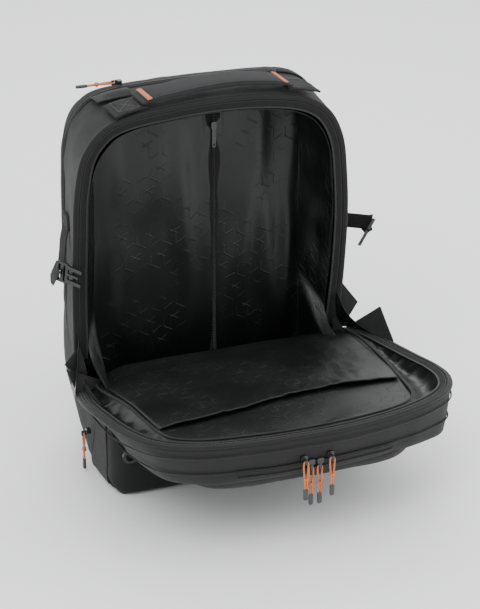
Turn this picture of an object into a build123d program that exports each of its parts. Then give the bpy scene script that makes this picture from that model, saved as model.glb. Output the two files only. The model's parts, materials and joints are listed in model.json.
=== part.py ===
from build123d import *
import math
import os

os.makedirs("parts", exist_ok=True)

# A travel backpack that opens like a suitcase, standing on its base with the front lid let down.
# X runs to the right, Y towards the wearer's back, Z up. The origin is on the ground, under the
# line where the zip ends. All sizes are in millimetres.
half_width = 180  # half the width at the main opening
base_half_width = 172
back_half_width = 163
front_y = -140  # outer face of the base's front
divider_y = 52  # where the main tub ends and the rear compartment starts
rear_y = 75
base_top = 104
hinge_z = 116  # height of the two zip ends, which the lid turns about
rim_top_z = 457
back_top_z = 455
lean = 6.15  # degrees: the opening leans forward, and the open lid rises, by as much
wall = 4.0  # fabric with its foam
gap = 0.5  # between soft pieces of different bodies

rim_radius = 85
back_radius = 55
bottom_radius = 20

lid_near = 14  # distances along the lid, from the hinge line
lid_far = 352
lid_half_width = 215  # the open lid's side walls slump outwards
lid_near_half_width = 195
lid_floor_half_width = 165
lid_floor_far = 338
lid_depth = 42
lid_bow = 38  # how much the far edge bows out
lid_corner = 95
lid_wall = 3.0
pocket_depth = 14

cord_diameter = 2.2
slider_size = (8, 5, 10)

cos_lean = math.cos(math.radians(lean))
sin_lean = math.sin(math.radians(lean))
hinge = (0, 0, hinge_z)
rim_plane = Plane(origin=hinge, x_dir=(1, 0, 0), z_dir=(0, -cos_lean, -sin_lean))
lid_plane = Plane(origin=hinge, x_dir=(1, 0, 0), z_dir=(0, -sin_lean, -cos_lean))
lid_side = Plane(origin=hinge, x_dir=(0, -cos_lean, sin_lean), z_dir=(1, 0, 0))
rim_length = (rim_top_z - hinge_z) / cos_lean
rim_top_y = -(rim_top_z - hinge_z) * math.tan(math.radians(lean))


def lid_point(x, along, depth):
    """A point of the open lid, from its distance along the lid and its depth under the rim."""
    y = -along * cos_lean - depth * sin_lean
    z = hinge_z + along * sin_lean - depth * cos_lean
    return Vector(x, y, z)


def save(builder, name):
    builder.part.label = name
    export_step(builder.part, f"parts/{name}.step")
    print(name, round(builder.part.volume))


def bag_volume(inset, y_back, open_front=False):
    """The bag's body, smaller by an inset: its side profile cut to its outline from the front."""
    rim_bottom_y = (hinge_z - base_top) * math.tan(math.radians(lean))
    front = front_y + inset
    with BuildPart() as volume:
        with BuildSketch(Plane.YZ):
            with BuildLine():
                if open_front:
                    Polyline(
                        (front, inset), (y_back, inset), (y_back, back_top_z - inset),
                        (front, rim_top_z - inset), close=True,
                    )
                else:
                    Polyline(
                        (front, inset), (y_back, inset), (y_back, back_top_z - inset),
                        (rim_top_y, rim_top_z - inset), (rim_bottom_y, base_top),
                        (front, base_top), close=True,
                    )
            make_face()
            corner = rear_y - y_back
            if corner < 1:
                lowest = sorted(vertices(), key=lambda v: v.Y - v.X)[0]
                fillet(lowest, 50)
                highest = sorted(vertices(), key=lambda v: v.X + v.Y)[-1]
                fillet(highest, 18)
        extrude(amount=half_width + 10, both=True)
        sections = (
            (front_y - 1, base_half_width, rim_radius),
            (-20, half_width, rim_radius),
            (rear_y + 1, back_half_width, back_radius),
        )
        for y, half, radius in sections:
            with BuildSketch(Plane.XZ.offset(-y)):
                with Locations((0, rim_top_z / 2)):
                    Rectangle(2 * (half - inset), rim_top_z - 2 * inset)
                fillet(vertices().group_by(Axis.Y)[-1], radius - inset)
                fillet(vertices().group_by(Axis.Y)[0], bottom_radius - min(inset, 8))
        loft(ruled=True, mode=Mode.INTERSECT)
    return volume.part


def arch(half, top, radius):
    """An arch as wide as the main opening, from the zip ends up, in a sketch of its own."""
    with BuildSketch() as outline:
        with Locations((0, top / 2)):
            Rectangle(2 * half, top)
        fillet(vertices().group_by(Axis.Y)[-1], radius)
    return outline.sketch


def lid_outline(inset, near=lid_near):
    """The lid's edge, smaller by an inset: sides that spread from the hinge and a bowed far end."""
    half = lid_half_width - inset
    near_half = lid_near_half_width - inset
    far = lid_far - inset
    with BuildSketch() as outline:
        with BuildLine():
            Polyline(
                (-half, far - lid_bow), (-half, 90), (-near_half, near), (near_half, near), (half, 90),
                (half, far - lid_bow),
            )
            ThreePointArc((half, far - lid_bow), (0, far), (-half, far - lid_bow))
        make_face()
        fillet(vertices().sort_by(Axis.Y)[-2:], lid_corner - inset)
    return outline.sketch


def lid_floor_outline(inset):
    """The outline of the lid's outer face, smaller by an inset."""
    half = lid_floor_half_width - inset
    far = lid_floor_far - inset
    with BuildSketch() as outline:
        with BuildLine():
            Polyline(
                (-half, far - 30), (-half, 90), (5 - half, lid_near), (half - 5, lid_near), (half, 90),
                (half, far - 30),
            )
            ThreePointArc((half, far - 30), (0, far), (-half, far - 30))
        make_face()
        fillet(vertices().sort_by(Axis.Y)[-2:], 75 - inset)
    return outline.sketch


def lid_volume(inset, top):
    """The lid's tray, smaller by an inset: shallow over the base, full depth beyond it."""
    floor = lid_depth - inset
    edge_outline = lid_outline(inset)
    floor_outline = lid_floor_outline(inset)
    with BuildPart() as volume:
        with BuildSketch(lid_side):
            with BuildLine():
                Polyline(
                    (lid_near + inset, top), (lid_far, top), (lid_far, floor), (215 + inset, floor),
                    (128 + inset, 14 - inset), (lid_near + inset, 8 - inset), close=True,
                )
            make_face()
        extrude(amount=lid_half_width + 10, both=True)
        with BuildSketch(lid_plane.offset(top)):
            add(edge_outline)
        with BuildSketch(lid_plane.offset(lid_depth)):
            add(floor_outline)
        loft(mode=Mode.INTERSECT)
    return volume.part


def side_block(y_low, y_high):
    """A block across the bag between two depths, to cut the body's volume with."""
    with BuildPart() as block:
        with BuildSketch(Plane.XZ.offset(-y_high)):
            Rectangle(800, 1200)
        extrude(amount=y_high - y_low)
    return block.part


body_outer = bag_volume(0, rear_y)
body_inner = bag_volume(wall, divider_y - wall, open_front=True)

# Main tub: the fabric and foam shell of the main compartment, open at the front.
with BuildPart() as main_shell:
    add(body_outer)
    add(side_block(front_y - 10, divider_y), mode=Mode.INTERSECT)
    add(body_inner, mode=Mode.SUBTRACT)
save(main_shell, "main_shell")

# Rear compartment: a shallow tub behind the main one, which holds a laptop against the back.
rear_wall = 3.0
with BuildPart() as rear_shell:
    add(body_outer)
    add(side_block(divider_y + gap, rear_y + 10), mode=Mode.INTERSECT)
    add(bag_volume(rear_wall, rear_y - rear_wall), mode=Mode.SUBTRACT)
save(rear_shell, "rear_shell")

# Liner: a thin nylon skin inside the main tub, clear of the base board.
liner_inset = 7.5
liner_thickness = 1.2
rim_cut = rim_plane.offset(-5)
with BuildPart() as liner:
    add(bag_volume(liner_inset, divider_y - liner_inset))
    add(
        bag_volume(liner_inset + liner_thickness, divider_y - liner_inset - liner_thickness, open_front=True),
        mode=Mode.SUBTRACT,
    )
    split(bisect_by=rim_cut, keep=Keep.BOTTOM)
save(liner, "liner")

# Base board: the stiffener that keeps the floor of the bag flat.
with BuildPart() as base_board:
    with BuildSketch(Plane.XY.offset(wall + gap)):
        with Locations((0, (front_y + divider_y) / 2)):
            Rectangle(2 * base_half_width - 60, divider_y - front_y - 16)
        fillet(vertices(), 12)
    extrude(amount=2)
save(base_board, "base_board")

# Zip in the middle of the liner's back, which opens the pocket behind it.
liner_zip_x = 24
liner_face_y = divider_y - liner_inset - liner_thickness
liner_zip_low, liner_zip_high = 60, 412
with BuildPart() as liner_zip:
    with BuildSketch(Plane.XZ.offset(-(liner_face_y - 0.1))):
        with Locations((liner_zip_x, (liner_zip_low + liner_zip_high) / 2)):
            Rectangle(22, liner_zip_high - liner_zip_low)
    extrude(amount=0.8)
    with BuildSketch(Plane.XZ.offset(-(liner_face_y - 0.9))):
        with Locations((liner_zip_x, (liner_zip_low + liner_zip_high) / 2)):
            Rectangle(5, liner_zip_high - liner_zip_low)
    extrude(amount=1.2)
save(liner_zip, "liner_zip")

with BuildPart() as liner_slider:
    with BuildSketch(Plane.XZ.offset(-(liner_face_y - 2.4))):
        with Locations((liner_zip_x, 396)):
            Rectangle(7, 10)
        fillet(vertices(), 2.5)
    extrude(amount=2.5)
    with BuildSketch(Plane.XZ.offset(-(liner_face_y - 3.6))):
        with Locations((liner_zip_x, 380)):
            RectangleRounded(5, 26, 2.4)
        with Locations((liner_zip_x, 371)):
            Circle(1.3, mode=Mode.SUBTRACT)
    extrude(amount=1.2)
save(liner_slider, "liner_slider")

# Laptop sleeve: a foam pad with a raised lip, inside the rear compartment.
with BuildPart() as laptop_sleeve:
    with BuildSketch(Plane.XZ.offset(-(divider_y + 9))):
        with Locations((0, 225)):
            RectangleRounded(280, 380, 30)
    extrude(amount=7)
save(laptop_sleeve, "laptop_sleeve")

# Frame sheet: a thin stiff sheet against the back, which carries the shape of the pack.
with BuildPart() as frame_sheet:
    with BuildSketch(Plane.XZ.offset(-(rear_y - rear_wall - 1))):
        with Locations((0, 232)):
            RectangleRounded(270, 390, 40)
    extrude(amount=1.6)
save(frame_sheet, "frame_sheet")

# Zip of the rear compartment: an arch over the joint of the two tubs, on the sides and the top.
with BuildPart() as rear_zip:
    for x_side in (-1, 1):
        with BuildSketch(Plane.YZ.offset(x_side * 170.5)):
            with Locations((divider_y, 220)):
                Rectangle(13, 280)
        extrude(amount=1.2 * x_side)
    with BuildSketch(Plane.XY.offset(rim_top_z + 0.6)):
        with Locations((0, divider_y)):
            Rectangle(216, 13)
    extrude(amount=1.2)
save(rear_zip, "rear_zip")

# Back pads: two padded columns, a lumbar pad and the channels between them.
with BuildPart() as back_pads:
    with BuildSketch(Plane.XZ.offset(-(rear_y + 13))):
        with Locations((-78, 260), (78, 260)):
            RectangleRounded(110, 290, 28)
        with Locations((0, 78)):
            RectangleRounded(88, 60, 26)
    extrude(amount=13 - gap)
    fillet(faces().sort_by(Axis.Y)[-1].edges(), 6)
save(back_pads, "back_pads")

# Half of the main zip's tape on the body, an arch inside the opening's edge.
tape_width = 13
tape_half = 170
tape_outer = arch(tape_half, rim_length - 8, rim_radius - 8)
tape_inner = arch(tape_half - tape_width, rim_length - 8 - tape_width, rim_radius - 8 - tape_width)
with BuildPart() as body_zip:
    with BuildSketch(rim_plane.offset(-gap - 1.2)):
        add(tape_outer)
        add(tape_inner, mode=Mode.SUBTRACT)
    extrude(amount=1.2)
save(body_zip, "body_zip")

# Binding round the outside of the body's edge.
binding_depth = 4
binding_outer = arch(half_width + 2.4, rim_length + 3, rim_radius + 3)
binding_inner = arch(half_width + 0.4, rim_length + 1, rim_radius + 1)
with BuildPart() as body_binding:
    with BuildSketch(rim_plane.offset(-gap - binding_depth)):
        add(binding_outer)
        add(binding_inner, mode=Mode.SUBTRACT)
    extrude(amount=binding_depth)
save(body_binding, "body_binding")

# Carry handle: a padded grip between two anchor patches sewn to the top of the bag.
handle_y = -8
handle_width = 40
anchor_top = rim_top_z + 2.5
grip_half = 92
with BuildPart() as handle_grip:
    with BuildSketch(Plane.XZ.offset(-(handle_y + handle_width / 2))):
        with BuildLine():
            ThreePointArc((-grip_half, anchor_top + 1), (0, anchor_top + 14), (grip_half, anchor_top + 1))
            ThreePointArc((grip_half, anchor_top + 1), (grip_half + 3, anchor_top + 4), (grip_half, anchor_top + 7))
            ThreePointArc((grip_half, anchor_top + 7), (0, anchor_top + 24), (-grip_half, anchor_top + 7))
            ThreePointArc((-grip_half, anchor_top + 7), (-grip_half - 3, anchor_top + 4), (-grip_half, anchor_top + 1))
        make_face()
    extrude(amount=handle_width)
    fillet(edges().filter_by(Axis.Y).sort_by(Axis.Z)[-1:], 1)
save(handle_grip, "handle_grip")

# Patches sewn to the fabric: the handle's anchors, the right strap's anchor and the D-ring's tab.
# The left strap is sewn straight into a seam.
ring_x, ring_y, ring_z = -158, front_y, 56
left_root = Vector(-178.6, 20, 305)
right_root = Vector(172.5, 38, 252)
with BuildPart() as sewn_patches:
    with BuildSketch(Plane.XY.offset(rim_top_z + 0.2)):
        with Locations((-112, handle_y), (112, handle_y)):
            RectangleRounded(34, handle_width + 4, 5)
    extrude(amount=anchor_top - rim_top_z - 0.2)
    with BuildSketch(Plane.YZ.offset(right_root.X - 1)):
        with Locations((right_root.Y, right_root.Z)):
            RectangleRounded(8, 26, 3)
    extrude(amount=-0.6)
    with BuildSketch(Plane.XZ.offset(-(ring_y - 0.3))):
        with Locations((ring_x, ring_z + 15)):
            RectangleRounded(14, 12, 2)
    extrude(amount=2)
save(sewn_patches, "sewn_patches")

with BuildPart() as d_ring:
    with BuildSketch(Plane.XZ.offset(-(ring_y - 2.6))):
        with Locations((ring_x, ring_z)):
            RectangleRounded(20, 18, 8)
            RectangleRounded(13, 11, 5, mode=Mode.SUBTRACT)
    extrude(amount=3)
save(d_ring, "d_ring")

# Side compression straps: webbing from a sewn root to the plug half of a side-release buckle.
web_width = 20
web_thickness = 1.6
left_bar = Vector(-195.7, -4, 251)
right_bar = Vector(231, 10, 247)
straps = {
    "left": (left_root, left_bar, 17, Vector(26, -40, -6), Vector(-40, -26, 0), Vector(0, 1, 0)),
    "right": (right_root, right_bar, 8, Vector(-22, -5, -30), Vector(27.5, -19, -17), Vector(0, 0, 1)),
}
for side, (root, bar, bar_clearance, plug_direction, plug_normal, web_across) in straps.items():
    run = bar - root
    web_length = run.length - bar_clearance
    web_normal = run.cross(web_across)
    web_plane = Plane(origin=root + run.normalized() * (web_length / 2), x_dir=run, z_dir=web_normal)
    with BuildPart() as side_web:
        with BuildSketch(web_plane.offset(-web_thickness / 2)):
            Rectangle(web_length, web_width)
        extrude(amount=web_thickness)
    save(side_web, f"side_web_{side}")

    with BuildPart() as buckle_plug:
        with BuildSketch(Plane(origin=bar, x_dir=plug_direction, z_dir=plug_normal).offset(-1.8)):
            with Locations((4, 0)):
                RectangleRounded(18, 27, 3)
            with Locations((22, -9), (22, 9)):
                Rectangle(24, 4.5)
            with Locations((20, 0)):
                Rectangle(18, 3)
            with Locations((0, 0), (8, 0)):
                Rectangle(3.5, 21, mode=Mode.SUBTRACT)
        extrude(amount=3.6)
    save(buckle_plug, f"buckle_plug_{side}")

# Shoulder straps: two padded straps that leave the back below the top and come home at the base.
strap_root_x = 62
strap_half = 32
strap_back_y = rear_y + 44
for x_side, side in ((-1, "left"), (1, "right")):
    with BuildPart() as shoulder_strap:
        with BuildSketch(Plane.YZ.offset(x_side * strap_root_x)):
            with BuildLine():
                Polyline((rear_y + gap, 438), (strap_back_y - 22, 438))
                ThreePointArc((strap_back_y - 22, 438), (strap_back_y, 300), (strap_back_y - 12, 150))
                Line((strap_back_y - 12, 150), (strap_back_y - 24, 154))
                ThreePointArc((strap_back_y - 24, 154), (strap_back_y - 14, 300), (strap_back_y - 30, 426))
                Polyline((strap_back_y - 30, 426), (rear_y + gap, 426), (rear_y + gap, 438))
            make_face()
        extrude(amount=strap_half, both=True)
    save(shoulder_strap, f"shoulder_strap_{side}")

# Lower webbing of the shoulder straps, from the ladder locks down to the base's corners.
lock_y, lock_z = strap_back_y - 19, 128
with BuildPart() as lower_webs:
    for x_side in (-1, 1):
        with BuildSketch(Plane.YZ.offset(x_side * strap_root_x)):
            with BuildLine():
                Polyline(
                    (lock_y + 1.5, lock_z), (rear_y + 4, 34), (rear_y + gap, 34), (rear_y + gap, 31),
                    (rear_y + 6, 31), (lock_y + 3.5, lock_z), close=True,
                )
            make_face()
        extrude(amount=12.5, both=True)
save(lower_webs, "lower_webs")

with BuildPart() as ladder_locks:
    for x_side in (-1, 1):
        with BuildSketch(Plane.XZ.offset(-(lock_y + 10))):
            with Locations((x_side * strap_root_x, lock_z + 2)):
                RectangleRounded(36, 26, 5)
            with Locations((x_side * strap_root_x, lock_z - 5), (x_side * strap_root_x, lock_z + 7)):
                SlotOverall(28, 4, mode=Mode.SUBTRACT)
        extrude(amount=5)
save(ladder_locks, "ladder_locks")

# Sternum strap: webbing across the two shoulder straps, joined by a small buckle.
sternum_z = 330
sternum_y = strap_back_y + 3.5
with BuildPart() as sternum_web:
    for x_low, x_high in ((-strap_root_x, -9), (22, strap_root_x)):
        with BuildSketch(Plane.XZ.offset(-sternum_y)):
            with Locations(((x_low + x_high) / 2, sternum_z)):
                Rectangle(x_high - x_low, 15)
        extrude(amount=1.5)
save(sternum_web, "sternum_web")

with BuildPart() as sternum_socket:
    with BuildSketch(Plane.XZ.offset(-(sternum_y + 7))):
        with Locations((-3, sternum_z)):
            RectangleRounded(26, 22, 4)
    extrude(amount=7 - 0.1)
    with BuildSketch(Plane.YZ.offset(-6)):
        with Locations((sternum_y + 3.6, sternum_z)):
            Rectangle(4, 16)
    extrude(amount=20, mode=Mode.SUBTRACT)
save(sternum_socket, "sternum_socket")

with BuildPart() as sternum_plug:
    with BuildSketch(Plane.XZ.offset(-(sternum_y + 5.2))):
        with Locations((3, sternum_z - 5), (3, sternum_z + 5)):
            Rectangle(14, 4)
        with Locations((18.6, sternum_z)):
            RectangleRounded(16, 20, 3)
    extrude(amount=3.2)
save(sternum_plug, "sternum_plug")

# Side gussets: the folded wings of fabric between the body's edge and the open lid.
with BuildPart() as side_gussets:
    for x_side in (-1, 1):
        with BuildSketch(Plane.YZ.offset(x_side * 170)):
            with BuildLine():
                Polyline((-4.6, 140), (-7.3, 165), (-9.3, 165), (-6.6, 140), close=True)
            make_face()
        extrude(amount=6 * x_side)
save(side_gussets, "side_gussets")

# Lid: the front of the bag, a fabric tray whose underside is the bag's outer face.
with BuildPart() as lid_shell:
    add(lid_volume(0, gap))
    add(lid_volume(lid_wall, -4), mode=Mode.SUBTRACT)
save(lid_shell, "lid_shell")

# Lid binding: a band round the outside of the lid's edge.
lid_binding_outer = lid_outline(-2.4, 30)
lid_binding_inner = lid_outline(-0.6, 20)
with BuildPart() as lid_binding:
    with BuildSketch(lid_plane.offset(gap)):
        add(lid_binding_outer)
        add(lid_binding_inner, mode=Mode.SUBTRACT)
    extrude(amount=4)
save(lid_binding, "lid_binding")

# Half of the main zip's tape on the lid, inside the tray's edge.
lid_tape_outer = lid_outline(11, 30)
lid_tape_inner = lid_outline(21, 20)
with BuildPart() as lid_zip:
    with BuildSketch(lid_plane.offset(gap)):
        add(lid_tape_outer)
        add(lid_tape_inner, mode=Mode.SUBTRACT)
    extrude(amount=1.2)
save(lid_zip, "lid_zip")

# Lid panel: the lined board that closes the tray, and the open-edged pocket sewn over it.
panel_half = 157
with BuildPart() as lid_panel:
    with BuildSketch(lid_plane.offset(2.6)):
        with Locations((0, 180)):
            RectangleRounded(2 * panel_half, 300, 30)
    extrude(amount=2)
save(lid_panel, "lid_panel")

with BuildPart() as lid_pocket:
    with BuildSketch(lid_plane.offset(-1.4)):
        with Locations((0, 138)):
            RectangleRounded(2 * panel_half - 12, 196, 20)
    extrude(amount=3.6)
    with BuildSketch(lid_plane.offset(-0.2)):
        with Locations((0, 150)):
            Rectangle(2 * panel_half - 24, 200)
    extrude(amount=1.6, mode=Mode.SUBTRACT)
save(lid_pocket, "lid_pocket")

# Front pocket: the flat outer pocket on the lid's face, with two zips in its far seam.
with BuildPart() as front_pocket:
    with BuildSketch(lid_plane.offset(lid_depth + 0.1)):
        with Locations((0, 276)):
            RectangleRounded(292, 108, 40)
    with BuildSketch(lid_plane.offset(lid_depth + pocket_depth)):
        with Locations((0, 276)):
            RectangleRounded(276, 92, 34)
    loft()
    with BuildSketch(lid_plane.offset(lid_depth + 0.1)):
        with Locations((0, 276)):
            RectangleRounded(282, 98, 36)
    extrude(amount=9, mode=Mode.SUBTRACT)
save(front_pocket, "front_pocket")

zip_depths = (30, 37)


def far_edge(depth):
    """How far along the lid its far wall stands, at a depth under the rim."""
    return lid_far - (lid_far - lid_floor_far) * depth / lid_depth


with BuildPart() as front_zips:
    for depth in zip_depths:
        with BuildSketch(lid_plane.offset(depth - 2)):
            with BuildLine():
                near_arc = ThreePointArc(
                    (-110, far_edge(depth) - 10.8), (0, far_edge(depth) + 1.6), (110, far_edge(depth) - 10.8)
                )
                far_arc = ThreePointArc(
                    (-110, far_edge(depth) - 9.6), (0, far_edge(depth) + 2.8), (110, far_edge(depth) - 9.6)
                )
                Line(near_arc @ 0, far_arc @ 0)
                Line(near_arc @ 1, far_arc @ 1)
            make_face()
        extrude(amount=4)
save(front_zips, "front_zips")

# Sockets of the side straps' buckles, sewn under the lid, with their mouths to the sides.
for x_side, side in ((-1, "left"), (1, "right")):
    with BuildPart() as buckle_socket:
        with BuildSketch(lid_plane.offset(38.5)):
            with Locations((x_side * 138, 190)):
                RectangleRounded(36, 25, 4)
        extrude(amount=9)
        with BuildSketch(lid_plane.offset(40.2)):
            with Locations((x_side * 148, 190)):
                Rectangle(28, 20)
        extrude(amount=5.6, mode=Mode.SUBTRACT)
    save(buckle_socket, f"buckle_socket_{side}")

# Zip pulls. Each has a slider with a bail, a loop of cord through the bail and a rubber end.
loop_route = (
    (-1.35, 0.0, -35), (-1.35, 0.0, -28), (-1.6, 0.3, -20), (-2.9, -0.2, -10), (-2.8, 0.0, 0),
    (2.8, 0.0, 0), (2.9, 0.2, -10), (1.6, -0.3, -20), (1.35, 0.0, -28), (1.35, 0.0, -35),
)
bail_width = 2.6
end_length = 14


def turn_radii(points):
    """The largest arc each corner of a route allows, from its two runs and its turn."""
    radii = []
    for before, here, after in zip(points, points[1:], points[2:]):
        run_in, run_out = here - before, after - here
        half_turn = math.radians(run_in.get_angle(run_out)) / 2
        radii.append(0.45 * min(run_in.length, run_out.length) / math.tan(half_turn))
    return radii


def cord_tube(points):
    """A round tube along a route, with every corner an arc."""
    radii = turn_radii(points)
    with BuildPart() as tube:
        with BuildLine():
            path = FilletPolyline(*points, radius=radii)
        with BuildSketch(Plane(origin=path @ 0, z_dir=path % 0)):
            Circle(cord_diameter / 2)
        sweep()
    expected = math.pi * cord_diameter**2 / 4 * path.length
    print("cord", round(path.length, 1), "tightest", round(min(radii), 1), round(tube.part.volume / expected, 3))
    return tube


def slider_with_bail(plane, bail_at):
    """A zip slider on its plane (x along the zip, z outwards) with a bail that the cord goes through."""
    width, thickness, length = slider_size
    out, down = bail_at
    with BuildPart() as slider:
        with BuildSketch(plane):
            RectangleRounded(width, length - 3, 2)
        extrude(amount=thickness)
        with BuildSketch(Plane(origin=plane.origin, x_dir=plane.z_dir, z_dir=-plane.x_dir).offset(-bail_width / 2)):
            with BuildLine():
                Polyline(
                    (0.5, 0), (thickness, 0), (out + 3, down + 3), (out + 3, down - 3), (out - 3, down - 3),
                    (out - 3, down + 1), close=True,
                )
            make_face()
            with Locations((out, down)):
                Circle(cord_diameter / 2 + 0.5, mode=Mode.SUBTRACT)
        extrude(amount=bail_width)
    return slider


def pull_pieces(name, slider_plane, bail_at, frame):
    """One zip pull: the slider, and in a frame at the bail the loop of cord and the rubber end."""
    save(slider_with_bail(slider_plane, bail_at), f"{name}_slider")
    save(cord_tube([frame.from_local_coords(Vector(*p)) for p in loop_route]), f"{name}_cord")
    with BuildPart() as rubber_end:
        with BuildSketch(frame.offset(loop_route[0][2] - end_length)):
            RectangleRounded(6, 4, 1.8)
        extrude(amount=end_length)
    save(rubber_end, f"{name}_end")


# Four pulls hang side by side at the middle of the lid's far edge. The outer two are on the upper
# zip and stand out further, so that the inner two pass behind them.
front_pulls = ((-20, 0, (9.2, -2)), (-10, 1, (2.6, -6.5)), (1, 1, (2.6, -6.5)), (13, 0, (9.2, -2)))
for number, (x, row, bail_at) in enumerate(front_pulls, start=1):
    depth = zip_depths[row]
    on_wall = lid_point(x, far_edge(depth) + 3.4, depth)
    slider_plane = Plane(origin=on_wall, x_dir=(1, 0, 0), z_dir=(0, -1, 0))
    bail = on_wall + Vector(0, -bail_at[0], bail_at[1])
    pull_pieces(f"front_{number}", slider_plane, bail_at, Plane(origin=bail, x_dir=(1, 0, 0), z_dir=(0, 0, 1)))

# Side pull: it hangs beside the base on the left, from the end of the base pocket's zip.
side_slider_at = Vector(-base_half_width - 7.8, -56, 55)
side_plane = Plane(origin=side_slider_at, x_dir=(0, -1, 0), z_dir=(-1, 0, 0))
side_bail = side_slider_at + Vector(-8.4, 0, -2)
pull_pieces("side", side_plane, (8.4, -2), Plane(origin=side_bail, x_dir=(0, -1, 0), z_dir=(0, 0, 1)))

# Top pull: it lies on the top of the bag, where the rear compartment's zip ends.
top_slider_at = Vector(-94, 56, back_top_z + 4.3)
top_plane = Plane(origin=top_slider_at, x_dir=(0, -1, 0), z_dir=(0, 0, 1))
top_bail = top_slider_at + Vector(-6.5, 0, 2.6)
top_frame = Plane(origin=top_bail, x_dir=(0, 1, 0), z_dir=(1, 0, 0))
pull_pieces("top", top_plane, (2.6, -6.5), top_frame)

# Sliders of the main zip, parked at its two ends.
for x_side, side in ((-1, "left"), (1, "right")):
    with BuildPart() as main_slider:
        with BuildSketch(rim_plane.offset(0.1)):
            with Locations((x_side * 163.5, 7)):
                RectangleRounded(9, 10, 3)
        extrude(amount=3)
    save(main_slider, f"main_slider_{side}")
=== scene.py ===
import json
import math
import bpy
import numpy as np
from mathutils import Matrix, Vector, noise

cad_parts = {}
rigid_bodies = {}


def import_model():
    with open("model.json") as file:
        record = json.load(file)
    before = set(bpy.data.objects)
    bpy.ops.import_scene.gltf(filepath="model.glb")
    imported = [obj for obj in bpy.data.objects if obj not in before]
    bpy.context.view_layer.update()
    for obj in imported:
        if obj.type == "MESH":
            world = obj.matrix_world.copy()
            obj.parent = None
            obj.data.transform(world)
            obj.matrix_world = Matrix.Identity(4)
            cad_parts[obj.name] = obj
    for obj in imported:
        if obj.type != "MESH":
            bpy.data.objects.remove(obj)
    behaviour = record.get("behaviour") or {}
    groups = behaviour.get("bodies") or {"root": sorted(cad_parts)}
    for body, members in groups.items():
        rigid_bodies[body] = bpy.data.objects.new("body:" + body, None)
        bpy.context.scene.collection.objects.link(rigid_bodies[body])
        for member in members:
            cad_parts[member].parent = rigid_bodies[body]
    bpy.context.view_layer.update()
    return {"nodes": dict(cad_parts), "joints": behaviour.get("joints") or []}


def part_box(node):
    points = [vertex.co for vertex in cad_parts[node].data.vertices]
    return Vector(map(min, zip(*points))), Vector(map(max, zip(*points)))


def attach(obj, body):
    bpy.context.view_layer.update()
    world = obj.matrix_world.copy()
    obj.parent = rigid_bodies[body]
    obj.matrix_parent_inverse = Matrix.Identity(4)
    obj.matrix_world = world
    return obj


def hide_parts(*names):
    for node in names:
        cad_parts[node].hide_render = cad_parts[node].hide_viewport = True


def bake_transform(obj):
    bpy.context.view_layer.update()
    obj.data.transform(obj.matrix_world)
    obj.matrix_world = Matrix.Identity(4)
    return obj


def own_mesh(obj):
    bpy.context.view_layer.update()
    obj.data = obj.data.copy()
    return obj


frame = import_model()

# Lengths below are in millimetres; scale turns them into Blender's metres.
scale = 0.001
nodes = frame["nodes"]


def boxOf(node):
    low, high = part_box(node)
    return np.array(low) / scale, np.array(high) / scale


lidJoint = next(joint for joint in frame["joints"] if joint["name"] == "lid_hinge")
hingeZ = lidJoint["pos_m"][2] / scale
shellLow, shellHigh = boxOf("main_shell")
rearY = boxOf("rear_shell")[1][1]
frontY = shellLow[1]
rimTop = shellHigh[2]
lean = math.radians(6.15)  # the opening leans forward and the open lid rises by this
sinLean, cosLean = math.sin(lean), math.cos(lean)


def rimPoint(x, up, out=0.0):
    return (x, -up * sinLean - out * cosLean, hingeZ + up * cosLean - out * sinLean)


def lidPoint(x, along, depth=0.0):
    # the open lid's near left corner hangs down to where the zip starts
    slack = 20 * (1 - step(10, 190, along)) * step(110, 190, -x)
    return (x, -along * cosLean - depth * sinLean, hingeZ + along * sinLean - depth * cosLean - slack)


def unit(v):
    return v / np.maximum(np.linalg.norm(v, axis=-1, keepdims=True), 1e-9)


def step(low, high, value):
    t = np.clip((value - low) / (high - low), 0, 1)
    return t * t * (3 - 2 * t)


def wobble(point, size, seed=0.0):
    # smooth noise from -1 to 1, of about this size in millimetres
    return noise.noise(Vector((point[0] / size + seed, point[1] / size - seed, point[2] / size + 2 * seed)))


def through(points, each=8):
    # a smooth curve through the points, with the same number of steps between each two
    p = np.array(points, float)
    p = np.vstack([2 * p[0] - p[1], p, 2 * p[-1] - p[-2]])
    out = []
    for a, b, c, d in zip(p, p[1:], p[2:], p[3:]):
        for t in np.linspace(0, 1, each, endpoint=False):
            out.append(b + 0.5 * t * (c - a + t * (2 * a - 5 * b + 4 * c - d + t * (3 * (b - c) + d - a))))
    out.append(p[-2])
    return np.array(out)


def evenly(points, count):
    points = np.array(points, float)
    along = np.concatenate([[0], np.cumsum(np.linalg.norm(np.diff(points, axis=0), axis=1))])
    want = np.linspace(0, along[-1], count)
    return np.stack([np.interp(want, along, points[:, k]) for k in range(points.shape[1])], 1)


# ---- materials
class Wire:
    # a socket that takes part in sums
    def __init__(self, finish, socket):
        self.finish, self.socket = finish, socket

    def sum(self, operation, a, b):
        return self.finish.node("Math", {"operation": operation}, {0: a, 1: b})

    def __add__(self, other):
        return self.sum("ADD", self, other)

    def __radd__(self, other):
        return self.sum("ADD", other, self)

    def __sub__(self, other):
        return self.sum("SUBTRACT", self, other)

    def __rsub__(self, other):
        return self.sum("SUBTRACT", other, self)

    def __mul__(self, other):
        return self.sum("MULTIPLY", self, other)

    def __rmul__(self, other):
        return self.sum("MULTIPLY", other, self)

    def __pow__(self, other):
        return self.sum("POWER", self, other)

    def __gt__(self, other):
        return self.sum("GREATER_THAN", self, other)


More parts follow.
